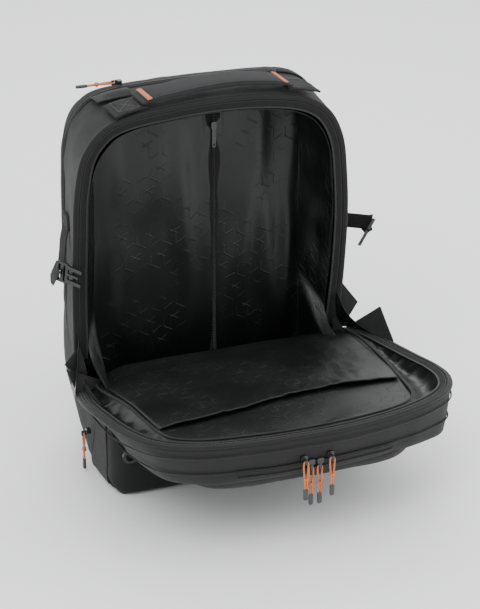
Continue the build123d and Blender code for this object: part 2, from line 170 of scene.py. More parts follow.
class Finish:
    def __init__(self, name):
        self.material = bpy.data.materials.new(name)
        self.material.use_nodes = True
        self.tree = self.material.node_tree
        self.shader = self.tree.nodes["Principled BSDF"]

    def feed(self, socket, value):
        if isinstance(value, Wire):
            self.tree.links.new(value.socket, socket)
        else:
            socket.default_value = value

    def node(self, kind, settings=None, inputs=None, out=0):
        made = self.tree.nodes.new("ShaderNode" + kind)
        for key, value in (settings or {}).items():
            if key == "stops":
                ramp = made.color_ramp
                ramp.elements[0].position, ramp.elements[0].color = value[0]
                ramp.elements[1].position, ramp.elements[1].color = value[-1]
                for place, colour in value[1:-1]:
                    ramp.elements.new(place).color = colour
            else:
                setattr(made, key, value)
        for key, value in (inputs or {}).items():
            self.feed(made.inputs[key], value)
        return Wire(self, made.outputs[out])

    def place(self):
        return self.node("TexCoord", out=3)

    def cloth(self):
        return self.node("UVMap", {"uv_map": "cloth"})

    def spread(self, size, detail=3.0, where=None, rough=0.5):
        inputs = {"Vector": where or self.place(), "Scale": 1000 / size, "Detail": detail,
                  "Roughness": rough}
        return self.node("TexNoise", {}, inputs)

    def ramp(self, value, low, high, start=0.0, end=1.0):
        inputs = {"Value": value, "From Min": low, "From Max": high, "To Min": start, "To Max": end}
        return self.node("MapRange", {}, inputs)

    def mix(self, amount, a, b):
        made = self.node("Mix", {"data_type": "RGBA"}, {0: amount, 6: a, 7: b}, out=2)
        return made

    def weave(self, pitch, where=None):
        # crossing yarns of this pitch
        parts = self.node("SeparateXYZ", {}, {0: where or self.cloth()})
        tree = parts.socket.node
        turn = 2000 * math.pi / pitch
        warp = self.node("Math", {"operation": "SINE"}, {0: Wire(self, tree.outputs[0]) * turn})
        weft = self.node("Math", {"operation": "SINE"}, {0: Wire(self, tree.outputs[1]) * turn})
        return warp * weft * 0.5 + 0.5

    def ribs(self, pitch, axis=0, where=None):
        parts = self.node("SeparateXYZ", {}, {0: where or self.cloth()})
        line = Wire(self, parts.socket.node.outputs[axis]) * (2000 * math.pi / pitch)
        return self.node("Math", {"operation": "SINE"}, {0: line}) * 0.5 + 0.5

    def bump(self, height, depth, strength=1.0, below=None):
        inputs = {"Height": height, "Distance": depth * scale, "Strength": strength}
        if below:
            inputs["Normal"] = below
        return self.node("Bump", {}, inputs)

    def done(self, **values):
        for name, value in values.items():
            self.feed(self.shader.inputs[name.replace("_", " ")], value)
        return self.material


def grey(value, warm=0.0):
    return (value * (1 + warm), value, value * (1 - warm), 1)


def clothFinish(name, dark, light, pitch, rough=0.8, sheen=0.08, blotch=28, depth=0.12, cold=0.0):
    # matte woven fabric: yarns, slubs and slight wear
    f = Finish(name)
    yarn = f.weave(pitch)
    slub = f.spread(blotch, 5.0)
    fine = f.spread(1.6, 2.0)
    tone = f.ramp(slub * 0.6 + yarn * 0.25 + fine * 0.35, 0.35, 0.85)
    colour = f.mix(tone, grey(dark, -cold), grey(light, -cold))
    normal = f.bump(slub, 0.8, 0.5, f.bump(yarn + fine * 0.6, depth))
    f.done(Base_Color=colour, Roughness=f.ramp(slub, 0.3, 0.7, rough - 0.08, rough + 0.08), Normal=normal,
           Sheen_Weight=sheen, Sheen_Roughness=0.45, Specular_IOR_Level=0.28)
    return f.material


def linerFinish(name, dark, light, rough, pattern):
    # thin coated nylon with a pressed lattice of small lozenges, with painted highlights on its folds
    f = Finish(name)
    where = f.cloth()
    # three sets of thin lines that meet in stars, broken up so that only some of them show
    parts = f.node("SeparateXYZ", {}, {0: where}).socket.node
    along, up = Wire(f, parts.outputs[0]), Wire(f, parts.outputs[1])
    turn = 2000 * math.pi / pattern
    ring = 0.0
    for angle in (0.0, 60.0, 120.0):
        c, s = math.cos(math.radians(angle)), math.sin(math.radians(angle))
        line = f.node("Math", {"operation": "SINE"}, {0: (along * c + up * s) * turn})
        gate = f.node("Math", {"operation": "SINE"}, {0: (along * -s + up * c) * (turn * 0.577) + angle})
        ring = ring + f.ramp(line, 0.93, 0.985) * f.ramp(gate, 0.0, 0.15)
    # broad fold noise: it bumps the surface and also lightens the colour, as painted highlights on the
    # folds
    crease = f.spread(75, 1.5)
    fine = f.weave(0.9)
    # the lattice lines show only where the fold noise is high, that is only inside the painted fold
    # highlights
    ring = ring * f.ramp(crease, 0.42, 0.54)
    # painted highlight: the colour lightens where the fold noise is high, and a little more on the lattice
    # lines there
    tone = f.ramp(crease + ring * 0.3, 0.35, 0.9)
    normal = f.bump(crease, 3.0, 0.35, f.bump(ring, 0.4, 0.7, f.bump(fine, 0.05)))
    shine = f.ramp(ring * 0.35 + crease, 0.3, 1.0, rough - 0.06, rough + 0.1)
    f.done(Base_Color=f.mix(tone, (dark, dark * 1.22, dark * 1.16, 1),
                            (light, light * 1.12, light * 1.08, 1)),
           Roughness=shine, Normal=normal, Specular_IOR_Level=0.42)
    return f.material


def webFinish(name, colour, pitch=1.8, cross=1.1):
    f = Finish(name)
    rib = f.ribs(pitch, 0)
    yarn = f.ribs(cross, 1)
    dust = f.spread(9, 3.0)
    tone = f.ramp(rib * 0.5 + dust * 0.5 + yarn * 0.2, 0.2, 1.0)
    brighter = tuple(min(1.0, c * 2.2 + 0.004) for c in colour[:3]) + (1,)
    f.done(Base_Color=f.mix(tone, colour, brighter), Roughness=0.85, Specular_IOR_Level=0.2,
           Normal=f.bump(rib * 0.8 + yarn * 0.5, 0.35), Sheen_Weight=0.05)
    return f.material


def hardFinish(name, colour, rough, metal=0.0, grain=0.05, coat=0.0):
    f = Finish(name)
    cloud = f.spread(7, 4.0)
    fine = f.spread(0.7, 2.0)
    lighter = tuple(min(1.0, c * 1.7 + 0.006) for c in colour[:3]) + (1,)
    f.done(Base_Color=f.mix(f.ramp(cloud, 0.35, 0.75), colour, lighter),
           Roughness=f.ramp(cloud + fine * 0.3, 0.4, 0.9, rough - 0.07, rough + 0.1), Metallic=metal,
           Normal=f.bump(fine, grain), Coat_Weight=coat)
    return f.material


def meshFinish(name, dark, light):
    # open air mesh with small round holes
    f = Finish(name)
    cell = f.node("TexVoronoi", {"voronoi_dimensions": "2D"},
                  {"Vector": f.cloth(), "Scale": 360.0, "Randomness": 0.0})
    hole = f.ramp(cell, 0.18, 0.42)
    cloud = f.spread(25, 3.0)
    f.done(Base_Color=f.mix(hole * 0.8 + cloud * 0.2, grey(dark), grey(light)), Roughness=0.85,
           Normal=f.bump(hole, 0.6, 0.9, f.bump(cloud, 1.5, 0.4)), Sheen_Weight=0.2)
    return f.material


def braidFinish(name, colour):
    f = Finish(name)
    strand = f.spread(1.1, 3.0)
    shade = tuple(c * 0.45 for c in colour[:3]) + (1,)
    f.done(Base_Color=f.mix(f.ramp(strand, 0.38, 0.58), shade, colour), Roughness=0.62,
           Normal=f.bump(strand, 0.35), Sheen_Weight=0.2)
    return f.material


shellCloth = clothFinish("shellCloth", 0.0052, 0.0125, 0.9, cold=0.02)
panelCloth = clothFinish("panelCloth", 0.007, 0.016, 0.9, cold=0.02)
lidCloth = clothFinish("lidCloth", 0.008, 0.018, 0.9, cold=0.01)
bindingCloth = clothFinish("bindingCloth", 0.0035, 0.010, 1.6, rough=0.7, blotch=12)
trimCloth = clothFinish("trimCloth", 0.008, 0.018, 1.4, rough=0.7, blotch=14)
linerCloth = linerFinish("linerCloth", 0.0020, 0.0052, 0.36, 17)
pocketCloth = linerFinish("pocketCloth", 0.0022, 0.0060, 0.47, 17)
blackWeb = webFinish("blackWeb", (0.006, 0.006, 0.0065, 1))
gripWeb = webFinish("gripWeb", (0.0075, 0.0075, 0.008, 1), 2.6, 2.2)
zipTape = webFinish("zipTape", (0.0045, 0.0045, 0.005, 1), 1.2, 0.9)
airMesh = meshFinish("airMesh", 0.004, 0.020)
blackPlastic = hardFinish("blackPlastic", (0.006, 0.006, 0.0065, 1), 0.36)
blackMetal = hardFinish("blackMetal", (0.008, 0.008, 0.009, 1), 0.3, coat=0.25)
greyRubber = hardFinish("greyRubber", (0.03, 0.031, 0.033, 1), 0.6)
orangeCord = braidFinish("orangeCord", (0.62, 0.165, 0.03, 1))
orangeThread = braidFinish("orangeThread", (0.55, 0.14, 0.026, 1))
blackThread = braidFinish("blackThread", (0.02, 0.02, 0.021, 1))
softFoam = hardFinish("softFoam", (0.015, 0.015, 0.016, 1), 0.8)
print("materials", len(bpy.data.materials))


# ---- making pieces
def settle(piece):
    # turns a piece's modifiers into plain mesh
    evaluated = piece.evaluated_get(bpy.context.evaluated_depsgraph_get())
    mesh = bpy.data.meshes.new_from_object(evaluated)
    piece.modifiers.clear()
    piece.data = mesh


def addPiece(name, points, faces, material, body, uvs=None, replaced=(), smooth=True):
    mesh = bpy.data.meshes.new(name)
    mesh.from_pydata((np.array(points, float) * scale).tolist(), [], faces)
    mesh.validate()
    layer = mesh.uv_layers.new(name="cloth")
    if uvs is not None:
        layer.data.foreach_set("uv", (np.array(uvs, float) * scale).ravel())
    mesh.polygons.foreach_set("use_smooth", [smooth] * len(mesh.polygons))
    mesh.materials.append(material)
    piece = bpy.data.objects.new(name, mesh)
    bpy.context.scene.collection.objects.link(piece)
    if body:
        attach(piece, body)
    for node in replaced:
        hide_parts(node)
    return piece


def skin(name, rows, material, body, closed=False, thick=0.0, smoother=0, replaced=(), side=-1):
    # a sheet through rows of points, with its cloth coordinates in millimetres
    rows = np.array(rows, float)
    m, n = rows.shape[:2]
    ends = n if closed else n - 1
    middle = rows[m // 2]
    if closed:
        middle = np.vstack([middle, middle[:1]])
    u = np.concatenate([[0], np.cumsum(np.linalg.norm(np.diff(middle, axis=0), axis=1))])
    v = np.concatenate([[0], np.cumsum(np.linalg.norm(np.diff(rows[:, n // 3], axis=0), axis=1))])
    faces, uvs = [], []
    for i in range(m - 1):
        for j in range(ends):
            k = (j + 1) % n
            faces.append((i * n + j, i * n + k, (i + 1) * n + k, (i + 1) * n + j))
            uvs += [(u[j], v[i]), (u[j + 1], v[i]), (u[j + 1], v[i + 1]), (u[j], v[i + 1])]
    piece = addPiece(name, rows.reshape(-1, 3), faces, material, body, uvs, replaced)
    if thick:
        solid = piece.modifiers.new("thick", "SOLIDIFY")
        solid.thickness, solid.offset = thick * scale, side
    if smoother:
        sub = piece.modifiers.new("smoother", "SUBSURF")
        sub.levels = sub.render_levels = smoother
    return piece


def sweep(name, path, profile, normal, material, body, replaced=(), closed=False, smooth=True):
    # a profile of (across, up) points carried along a path; up follows the normal
    path = np.array(path, float)
    normal = np.broadcast_to(np.array(normal, float), path.shape)
    ahead = np.roll(path, -1, 0) - np.roll(path, 1, 0) if closed else np.gradient(path, axis=0)
    ahead = unit(ahead)
    across = unit(np.cross(ahead, normal))
    up = unit(np.cross(across, ahead))
    profile = np.array(profile, float)
    widths = np.ones(len(path)) if profile.ndim == 2 else None
    rings = []
    for i in range(len(path)):
        shape = profile if widths is not None else profile[i]
        rings.append(path[i] + shape[:, :1] * across[i] + shape[:, 1:] * up[i])
    rings = np.array(rings)
    m, n = rings.shape[:2]
    around = np.concatenate([[0],
                             np.cumsum(np.linalg.norm(np.diff(np.vstack([rings[0], rings[0][:1]]), axis=0),
                                                      axis=1))])
    along = np.concatenate([[0], np.cumsum(np.linalg.norm(np.diff(path, axis=0), axis=1))])
    along = np.append(along, along[-1] + 1)
    faces, uvs = [], []
    for i in range(m if closed else m - 1):
        h = (i + 1) % m
        for j in range(n):
            k = (j + 1) % n
            faces.append((i * n + j, h * n + j, h * n + k, i * n + k))
            uvs += [(around[j], along[i]), (around[j], along[i + 1]), (around[j + 1], along[i + 1]),
                    (around[j + 1], along[i])]
    if not closed:
        faces.append(tuple(range(n)))
        faces.append(tuple(range(m * n - 1, (m - 1) * n - 1, -1)))
        uvs += [(0, 0)] * (2 * n)
    return addPiece(name, rings.reshape(-1, 3), faces, material, body, uvs, replaced, smooth)


def roundProfile(wide, high, count=10, square=1.0):
    # an ellipse, or a rounder rectangle where square is over 1
    out = []
    for t in np.arange(count) * 2 * math.pi / count:
        c, s = math.cos(t), math.sin(t)
        out.append((wide / 2 * math.copysign(abs(c) ** (1 / square), c),
                    high / 2 * math.copysign(abs(s) ** (1 / square), s)))
    return out


def blocks(name, places, size, material, body, replaced=()):
    # many small rounded bricks, such as stitches or zip teeth: each place is (centre, along, up)
    length, wide, high = size
    points, faces = [], []
    for centre, along, up in places:
        along, up = unit(np.array(along, float)), unit(np.array(up, float))
        across = np.cross(along, up)
        start = len(points)
        for end, shrink in ((-1, 0.55), (-0.6, 1), (0.6, 1), (1, 0.55)):
            for a, b in ((-1, -1), (1, -1), (1, 1), (-1, 1)):
                points.append(np.array(centre) + along * end * length / 2
                              + shrink * (across * a * wide / 2 + up * b * high / 2))
        for r in range(3):
            for k in range(4):
                faces.append((start + r * 4 + k, start + r * 4 + (k + 1) % 4,
                              start + r * 4 + 4 + (k + 1) % 4, start + r * 4 + 4 + k))
        faces += [(start + 3, start + 2, start + 1, start),
                  (start + 12, start + 13, start + 14, start + 15)]
    return addPiece(name, points, faces, material, body, None, replaced)


def softBrick(name, low, high, material, body, crown=0.25, cuts=7, replaced=(), shape=None):
    # a padded form: a rounded brick whose faces are crowned
    low, high = np.array(low, float), np.array(high, float)
    mid, half = (low + high) / 2, (high - low) / 2
    steps = np.linspace(-1, 1, cuts)
    index, points, faces = {}, [], []

    def corner(p):
        key = tuple(np.round(p, 5))
        if key not in index:
            index[key] = len(points)
            q = np.array(p, float)
            for a in range(3):
                b, c = (a + 1) % 3, (a + 2) % 3
                across, up = crown * p[b] ** 2, crown * p[c] ** 2
                q[a] = p[a] * math.sqrt(max(0, 1 - across / 2 - up / 2 + across * up / 3))
            place = mid + q * half
            points.append(shape(place) if shape else place)
        return index[key]

    for a in range(3):
        b, c = (a + 1) % 3, (a + 2) % 3
        for sign in (-1, 1):
            for s, s2 in zip(steps, steps[1:]):
                for t, t2 in zip(steps, steps[1:]):
                    loop = []
                    for u, v in ((s, t), (s2, t), (s2, t2), (s, t2)):
                        p = [0, 0, 0]
                        p[a], p[b], p[c] = sign, u, v
                        loop.append(corner(p))
                    faces.append(loop if sign > 0 else loop[::-1])
    uvs = [(points[i][0] + 0.3 * points[i][1], points[i][2]) for loop in faces for i in loop]
    piece = addPiece(name, points, faces, material, body, uvs, replaced)
    sub = piece.modifiers.new("smoother", "SUBSURF")
    sub.levels = sub.render_levels = 1
    return piece


# ---- camera, light and floor
view = {"turn": -22.16, "pitch": 23.11, "distance": 3.0567, "target": (0.0433, 0.0, 0.1661), "lens": 142.17}
turn, pitch = math.radians(view["turn"]), math.radians(view["pitch"])
target = Vector(view["target"])
back = Vector((math.sin(turn) * math.cos(pitch), -math.cos(turn) * math.cos(pitch), math.sin(pitch)))
camera = bpy.data.objects.new("camera", bpy.data.cameras.new("camera"))
camera.location = target + back * view["distance"]
camera.rotation_euler = (-back).to_track_quat("-Z", "Y").to_euler()
camera.data.lens = view["lens"]
camera.data.sensor_width = 36
bpy.context.scene.collection.objects.link(camera)
bpy.context.scene.camera = camera

floorMesh = bpy.data.meshes.new("floor")
floorMesh.from_pydata([(-9, -9, -0.0005), (9, -9, -0.0005), (9, 9, -0.0005), (-9, 9, -0.0005)], [],
                      [(0, 1, 2, 3)])
floor = bpy.data.objects.new("floor", floorMesh)
bpy.context.scene.collection.objects.link(floor)
paleFloor = Finish("paleFloor")
floorMesh.materials.append(paleFloor.done(Base_Color=(0.93, 0.93, 0.93, 1), Roughness=0.9,
                                          Specular_IOR_Level=0.1))

lights = {
    "key": {"at": (-1.3, -1.6, 2.4), "size": 1.8, "power": 42},
    "fill": {"at": (2.2, -1.4, 1.6), "size": 2.0, "power": 26},
    "rim": {"at": (0.6, 1.6, 2.0), "size": 1.6, "power": 24},
    "top": {"at": (0.0, -0.4, 2.9), "size": 2.2, "power": 14},
}
for name, light in lights.items():
    lamp = bpy.data.objects.new(name, bpy.data.lights.new(name, "AREA"))
    lamp.data.size, lamp.data.energy = light["size"], light["power"]
    lamp.location = light["at"]
    lamp.rotation_euler = (Vector((0, -0.1, 0.2)) - lamp.location).to_track_quat("-Z", "Y").to_euler()
    bpy.context.scene.collection.objects.link(lamp)
world = bpy.data.worlds.new("studio")
bpy.context.scene.world = world
world.use_nodes = True
world.node_tree.nodes["Background"].inputs[0].default_value = (0.86, 0.87, 0.88, 1)
world.node_tree.nodes["Background"].inputs[1].default_value = 1.45
print("camera and light")


# ---- zip pulls: a loop of cord through each slider's bail, a knot and a rubber end
pull = {"cord": 2.2, "length": 0.0737}
loopRoute = (
    (-1.35, 0.0, -35), (-1.35, 0.0, -28), (-1.6, 0.3, -20), (-2.9, -0.2, -10), (-2.8, 0.0, 0),
    (2.8, 0.0, 0), (2.9, 0.2, -10), (1.6, -0.3, -20), (1.35, 0.0, -28), (1.35, 0.0, -35),
)


def zipPull(name, bail, across, up, body):
    bail, across, up = np.array(bail, float), unit(np.array(across, float)), unit(np.array(up, float))
    out = np.cross(up, across)

    def at(p):
        return bail + across * p[0] + out * p[1] + up * p[2]

    curve = bpy.data.curves.new(name + "_loop", "CURVE")
    curve.dimensions = "3D"
    curve.bevel_depth = pull["cord"] / 2 * scale
    curve.bevel_resolution = 3
    curve.resolution_u = 8
    spline = curve.splines.new("NURBS")
    spline.points.add(len(loopRoute) - 1)
    for point, place in zip(spline.points, loopRoute):
        point.co = (*(at(place) * scale), 1)
    spline.order_u = 3
    spline.use_endpoint_u = True
    curve.materials.append(orangeCord)
    loop = bpy.data.objects.new(name + "_loop", curve)
    bpy.context.scene.collection.objects.link(loop)
    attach(loop, body)
    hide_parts(name + "_cord")
    # overhand knot: three turns of the cord round the loop's neck
    turns = []
    for t in np.linspace(0, 5 * math.pi, 46):
        lift = -22 + 3.2 * t / (5 * math.pi) - 1.6
        turns.append(at((2.5 * math.cos(t), 1.9 * math.sin(t), lift)))
    knot = sweep(name + "_knot", turns, roundProfile(2.0, 2.0, 8), up, orangeCord, body)
    # ribbed rubber end, squeezed where the cord goes in
    rings, shapes = [], []
    for z, wide, thick in ((-34.2, 3.6, 3.2), (-35.4, 5.0, 3.8), (-37.5, 5.9, 4.0), (-40, 5.5, 3.7),
                           (-42.5, 5.9, 4.0),
                           (-45, 5.5, 3.7), (-47.2, 5.8, 3.9), (-48.6, 4.9, 3.3), (-49, 3.0, 2.2)):
        rings.append(at((0, 0, z)))
        shapes.append(roundProfile(wide, thick, 14, 1.5))
    end = sweep(name + "_tip", rings, np.array(shapes), out, greyRubber, body,
                (name + "_end",))
    sub = end.modifiers.new("smoother", "SUBSURF")
    sub.levels = sub.render_levels = 1
    tuple(at(loopRoute[0]) * scale)


def bailOf(joint):
    return np.array(next(j for j in frame["joints"] if j["name"] == joint)["pos_m"]) / scale


for number in range(1, 5):
    zipPull(f"front_{number}", bailOf(f"front_{number}_swing"), (1, 0, 0), (0, 0, 1),
            f"front_{number}_pull")
zipPull("side", bailOf("side_swing"), (0, -1, 0), (0, 0, 1), "side_pull")
zipPull("top", bailOf("top_swing"), (0, 1, 0), (1, 0, 0), "top_pull")
print("pulls")


# ---- body of the bag
body = {"edge": 16.0, "frontEdge": 26.0, "sag": 1.7, "halfBase": 176.0}
frontShape = [
    (0, 0), (-80, 0), (-154, 0), (-171, 5), (-176, 22), (-177, 62), (-178, 100), (-179, 150),
    (-181, 220), (-181, 300), (-180, 350), (-172, 400), (-150, 432), (-118, 447), (-60, 454), (0, 457),
    (60, 454), (112, 444), (146, 424), (167, 387), (176, 335), (181, 275), (181, 200), (179, 150),
    (178, 100), (177, 62), (176, 22), (171, 5), (154, 0), (80, 0), (0, 0),
]
backShape = [
    (0, 0), (-80, 0), (-150, 0), (-166, 8), (-170, 30), (-170, 80), (-168, 120), (-165, 180),
    (-163, 260), (-163, 330), (-162, 382), (-153, 420), (-130, 446), (-90, 454), (-45, 456), (0, 457),
    (50, 456), (96, 454), (134, 447), (158, 424), (168, 392), (168, 330), (168, 260), (168, 180),
    (169, 120), (170, 80), (170, 30), (166, 8), (150, 0), (80, 0), (0, 0),
]
frontCurve, backCurve = through(frontShape, 6)[:-1], through(backShape, 6)[:-1]


def openingY(z):
    # how far forward the bag reaches at a height: the base's front, then the leaning opening
    leaning = -(z - hingeZ) * math.tan(lean)
    return frontY + body["frontEdge"] + (leaning - frontY - body["frontEdge"]) * step(96, 112, z)


def liftedBottom(y):
    # the bottom slopes up towards the wearer's back
    return 0.47 * max(0.0, min(y, 30) + 30) ** 1.15 + 0.62 * max(0.0, y - 30)


def bagRing(t, inset=0.0, deep=0.0, crease=1.0):
    # the bag's outline at a share of its depth, smaller by an inset
    ring = []
    for front, rear in zip(frontCurve, backCurve):
        x, z = front * (1 - t) + rear * t
        y = openingY(front[1]) * (1 - t) + (rearY - deep) * t
        low = liftedBottom(y)
        z = low + z * (rimTop - low) / rimTop
        middle = rimTop * 0.5
        x *= 1 - inset / 172
        z = middle + (z - middle) * (1 - inset / middle)
        if crease:
            amount = crease * math.sin(math.pi * min(1, max(0, t))) ** 0.5
            push = body["sag"] * wobble((x, y, z), 62) + 0.8 * wobble((x, y, z), 24, 3)
            x += amount * push * (1 if x > 0 else -1) * min(1, abs(x) / 120)
            z += amount * push * 0.7 * (abs(x) < 150) * (z > 200)
        ring.append((x, y, z))
    return ring


rows = [bagRing(t) for t in (0, 0.015, 0.05, 0.1, 0.16, 0.23, 0.3, 0.38, 0.46, 0.54, 0.62, 0.7, 0.78, 0.85,
                             0.91, 0.96, 1)]
for a in (15, 30, 45, 60, 75, 90):
    turned = math.radians(a)
    inset = body["edge"] * (1 - math.cos(turned))
    rows.append([(x, y + 0 * z, z) for x, y,
                 z in bagRing(1, inset, body["edge"] * (1 - math.sin(turned)), 0)])
rows[-7:-6] = [bagRing(1, 0, body["edge"], 0)]
for share in (0.85, 0.65, 0.45, 0.25, 0.08, 0.001):
    middle = np.array([0, rearY, rimTop * 0.55])
    cap = np.array(rows[22])
    rows.append(middle + (cap - middle) * (share, 1, share) * (1, 0, 1) + (0, 0, 0))
bodyShell = skin("bodyShell", rows, shellCloth, "pack", closed=True, thick=1.6, side=1,
                 replaced=("main_shell", "rear_shell"))

# front of the base, with its rounded edges
across, upwards = np.sin(np.linspace(-math.pi / 2, math.pi / 2, 91)), np.linspace(0, 1, 25)
rows = []
for b in upwards:
    row = []
    for a in across:
        x = a * body["halfBase"]
        low = 20 - math.sqrt(max(0, 400 - max(0, abs(x) - body["halfBase"] + 20) ** 2))
        z = low + b * (100 - low)
        radius = body["frontEdge"]
        side = min(radius, max(0, abs(x) - body["halfBase"] + radius))
        y = frontY + radius - math.sqrt(max(0, radius ** 2 - side ** 2)) + 9 - math.sqrt(max(0,
                81 - max(0, 9 - z) ** 2))
        belly = 5.0 * (1 - (x / 150) ** 2) * (abs(x) < 150) + 2.0 * wobble((x, 0, z), 50) * (1 - abs(a))
        row.append((x, y - belly * math.sin(math.pi * b) ** 0.6, z))
    rows.append(row)
baseFront = skin("baseFront", rows, shellCloth, "pack", thick=1.4, side=1)


def onSide(y, z, out=0.6):
    # a point on the bag's left side
    half = 177.0 - 5 * max(0, 20 - z) ** 2 / 400
    return (-half - out, y, z)


def welt(name, path, normal, size, material, rider):
    return sweep(name, evenly(path, max(8, len(path) * 2)), roundProfile(size * 1.7, size, 8), normal,
                 material, rider)


# seams of the base: a curved one on each side, one up each side of the front, one round the corner
curved = through([(-72, 92), (-70, 67), (-60, 34), (-53, 14), (-51, 4)], 8)
for x_side, side in ((-1, "left"), (1, "right")):
    path = [(onSide(y, z)[0] * -x_side, y, z) for y, z in curved]
    welt(f"sideSeam_{side}", path, (x_side, 0, 0), 1.4, shellCloth, "pack")
    blocks(f"sideStitch_{side}", [((x + x_side * 0.4, y - 3.5, z), (0, -0.2, 1), (x_side, 0, 0))
                                  for x, y, z in evenly(path, 22)], (2.6, 0.7, 0.6), blackThread,
                                  "pack")
    path = []
    for z in np.linspace(1, 99, 24):
        bulge = 2.2 * math.sin(math.pi * z / 100) ** 0.6
        path.append((x_side * 112, frontY - 0.6 - bulge + 9 - math.sqrt(81 - max(0, 9 - z) ** 2), z))
    welt(f"frontSeam_{side}", path, (0, -1, 0), 1.4, shellCloth, "pack")
    panel = []
    for z in np.linspace(7, 99, 18):
        rear = np.interp(z, curved[::-1, 1], curved[::-1, 0]) - 1.5
        panel.append([(x_side * (177.7 + 0.7 * math.sin(math.pi * t) - 0.5 * abs(wobble((0, y, z), 20))
                                 - 5 * max(0, 20 - z) ** 2 / 400), y, z)
                      for t in np.linspace(0, 1, 14) for y in (frontY + 27 + t * (rear - frontY - 27),)])
    skin(f"sidePanel_{side}", panel, panelCloth, "pack", thick=0.8, side=0)
print("body")

# ---- the opening's edge: binding, zip tape and coil
edge = {"binding": 5.0, "pitch": 2.6}
rimPath = through([(x, (z - hingeZ) / cosLean) for x, z in frontShape[6:25]], 14)
rimPath = rimPath[(rimPath[:, 1] > 0)]


def rimInset(distance, out=0.0, start=0):
    # the opening's outline moved inwards by a distance
    ahead = unit(np.gradient(rimPath, axis=0))
    inwards = np.stack([ahead[:, 1], -ahead[:, 0]], 1)
    moved = rimPath + inwards * distance
    return [rimPoint(x, up, out) for x, up in moved[start:len(moved) - start]]


rimNormal = np.array((0, -cosLean, -sinLean))
outer = rimInset(0.8, 0.6)
sweep("rimBinding", evenly(outer, 150), roundProfile(6.4, edge["binding"], 10, 1.4), rimNormal,
      bindingCloth,
      "pack", ("body_binding",))
paths = [rimInset(d, 0.9 + 0.35 * math.sin(d)) for d in (3.0, 5.5, 8.0, 10.5, 13.0, 15.5)]
skin("rimTape", [evenly(path, 150) for path in paths], zipTape, "pack", thick=0.7,
     replaced=("body_zip",))
sweep("rimPiping", evenly(rimInset(3.4, 1.8), 150), roundProfile(2.2, 1.8, 8), rimNormal, trimCloth,
      "pack")
coilPath = evenly(rimInset(15.2, 1.6, 2), 400)
coilAhead = unit(np.gradient(coilPath, axis=0))
blocks("rimCoil", [(p, np.cross(a, rimNormal), rimNormal) for p, a in zip(coilPath, coilAhead)],
       (3.0, 1.5, 1.7), blackPlastic, "pack")
blocks("rimStitch", [(p, a, rimNormal) for p,
                     a in zip(evenly(rimInset(6.4, 1.5), 230),
                              unit(np.gradient(evenly(rimInset(6.4, 1.5), 230), axis=0)))],
       (2.8, 0.7, 0.6), blackThread, "pack")
print("opening")

# ---- liner: a loose nylon skin inside the tub, gathered into long upright folds
liner = {"inset": 17.0, "rear": 43.0, "folds": 10.0}
linerFolds = [  # across, lean of the fold, width, height
    (-138, 0.03, 12, 1.1), (-104, -0.08, 17, 1.0), (-62, 0.07, 22, 1.1), (-18, -0.05, 14, 0.8),
    (58, 0.16, 17, 1.2),
    (92, -0.07, 14, 0.9), (126, 0.04, 12, 1.1),
]


def backFold(x, z):
    high = 0.0
    for at, tilt, wide, much in linerFolds:
        centre = at + tilt * (z - 250) + 6 * wobble((at, 0, z), 90)
        ebb = 0.55 + 0.6 * wobble((at, 5, z), 120, 1)
        high += much * ebb * math.exp(-((x - centre) / wide) ** 2)
    calm = step(0, 14, abs(x - 24))
    return liner["folds"] * high * (0.25 + 0.75 * calm)


def linerRing(t):
    ring = []
    for k, (front, rear) in enumerate(zip(frontCurve, backCurve)):
        x, z = front * (1 - t) + rear * t * np.array((0.93, 0.985))
        y = openingY(front[1]) * (1 - t) + liner["rear"] * t
        shrink = 1 - (liner["inset"] + 3 * t) / 180
        middle = rimTop * 0.5
        x, z = x * shrink, middle + (z - middle) * (1 - (liner["inset"] + 2 * t) / middle)
        z += liftedBottom(y) * (1 - z / rimTop)
        push = 3.2 * wobble((x, y * 0.6, z * 0.35), 17) + 2.2 * wobble((x, y, z), 45, 2)
        much = math.sin(math.pi * min(1, t * 1.02)) ** 0.6
        ring.append((x - much * push * np.sign(x) * min(1, abs(x) / 100), y, z - much * push * (z > 380)))
    return ring


rows = [linerRing(t) for t in np.linspace(0, 1, 16)]
last = np.array(rows[-1])
centre = np.array((10, liner["rear"], rimTop * 0.52))
for share in (0.97, 0.93, 0.88, 0.82, 0.75, 0.68, 0.6, 0.52, 0.44, 0.36, 0.28, 0.2, 0.12, 0.05, 0.001):
    rows.append(centre + (last - centre) * share)
linerTub = skin("linerTub", rows[:19], linerCloth, "pack", closed=True, thick=0.7, side=-1,
                replaced=("liner",))
rows = []
for z in np.linspace(74, 441, 80):
    row = []
    span = 150 - 60 * step(0.0, 1.0, (z - 395) / 50) ** 1.5 - 10 * step(60, 20, z)
    for a in np.linspace(-1, 1, 130):
        x = a * span - 2
        pinch = (1 - abs(a) ** 6)
        rise = backFold(x, z) * (0.35 + 0.65 * math.sin(math.pi * (z - 74) / 368) ** 0.5)
        swell = math.sin(math.pi * min(1, (z - 74) / 368))
        belly = 5 * swell * math.sin(math.pi * (abs(x - 24) / 165) ** 0.8 % math.pi)
        y = liner["rear"] - 0.6 - pinch * (rise + belly + 0.9 * wobble((x, 0, z * 0.4), 24, 4))
        row.append((x, y, z))
    rows.append(row)
linerBack = skin("linerBack", rows, linerCloth, "pack", thick=0.6, side=1)
zipZ = np.linspace(82, 414, 60)
tape = [(24 + 0.8 * wobble((0, 0, z), 70), liner["rear"] - 1.6 - 0.8 * wobble((3, 0, z), 60),
         z) for z in zipZ]
sweep("linerZipTape", tape, roundProfile(21, 1.0, 8, 2), (0, -1, 0), zipTape, "pack",
      ("liner_zip",))
coil = [((x, y - 1.1, z), (1, 0, 0), (0, -1, 0)) for x, y, z in evenly(tape, 140)]
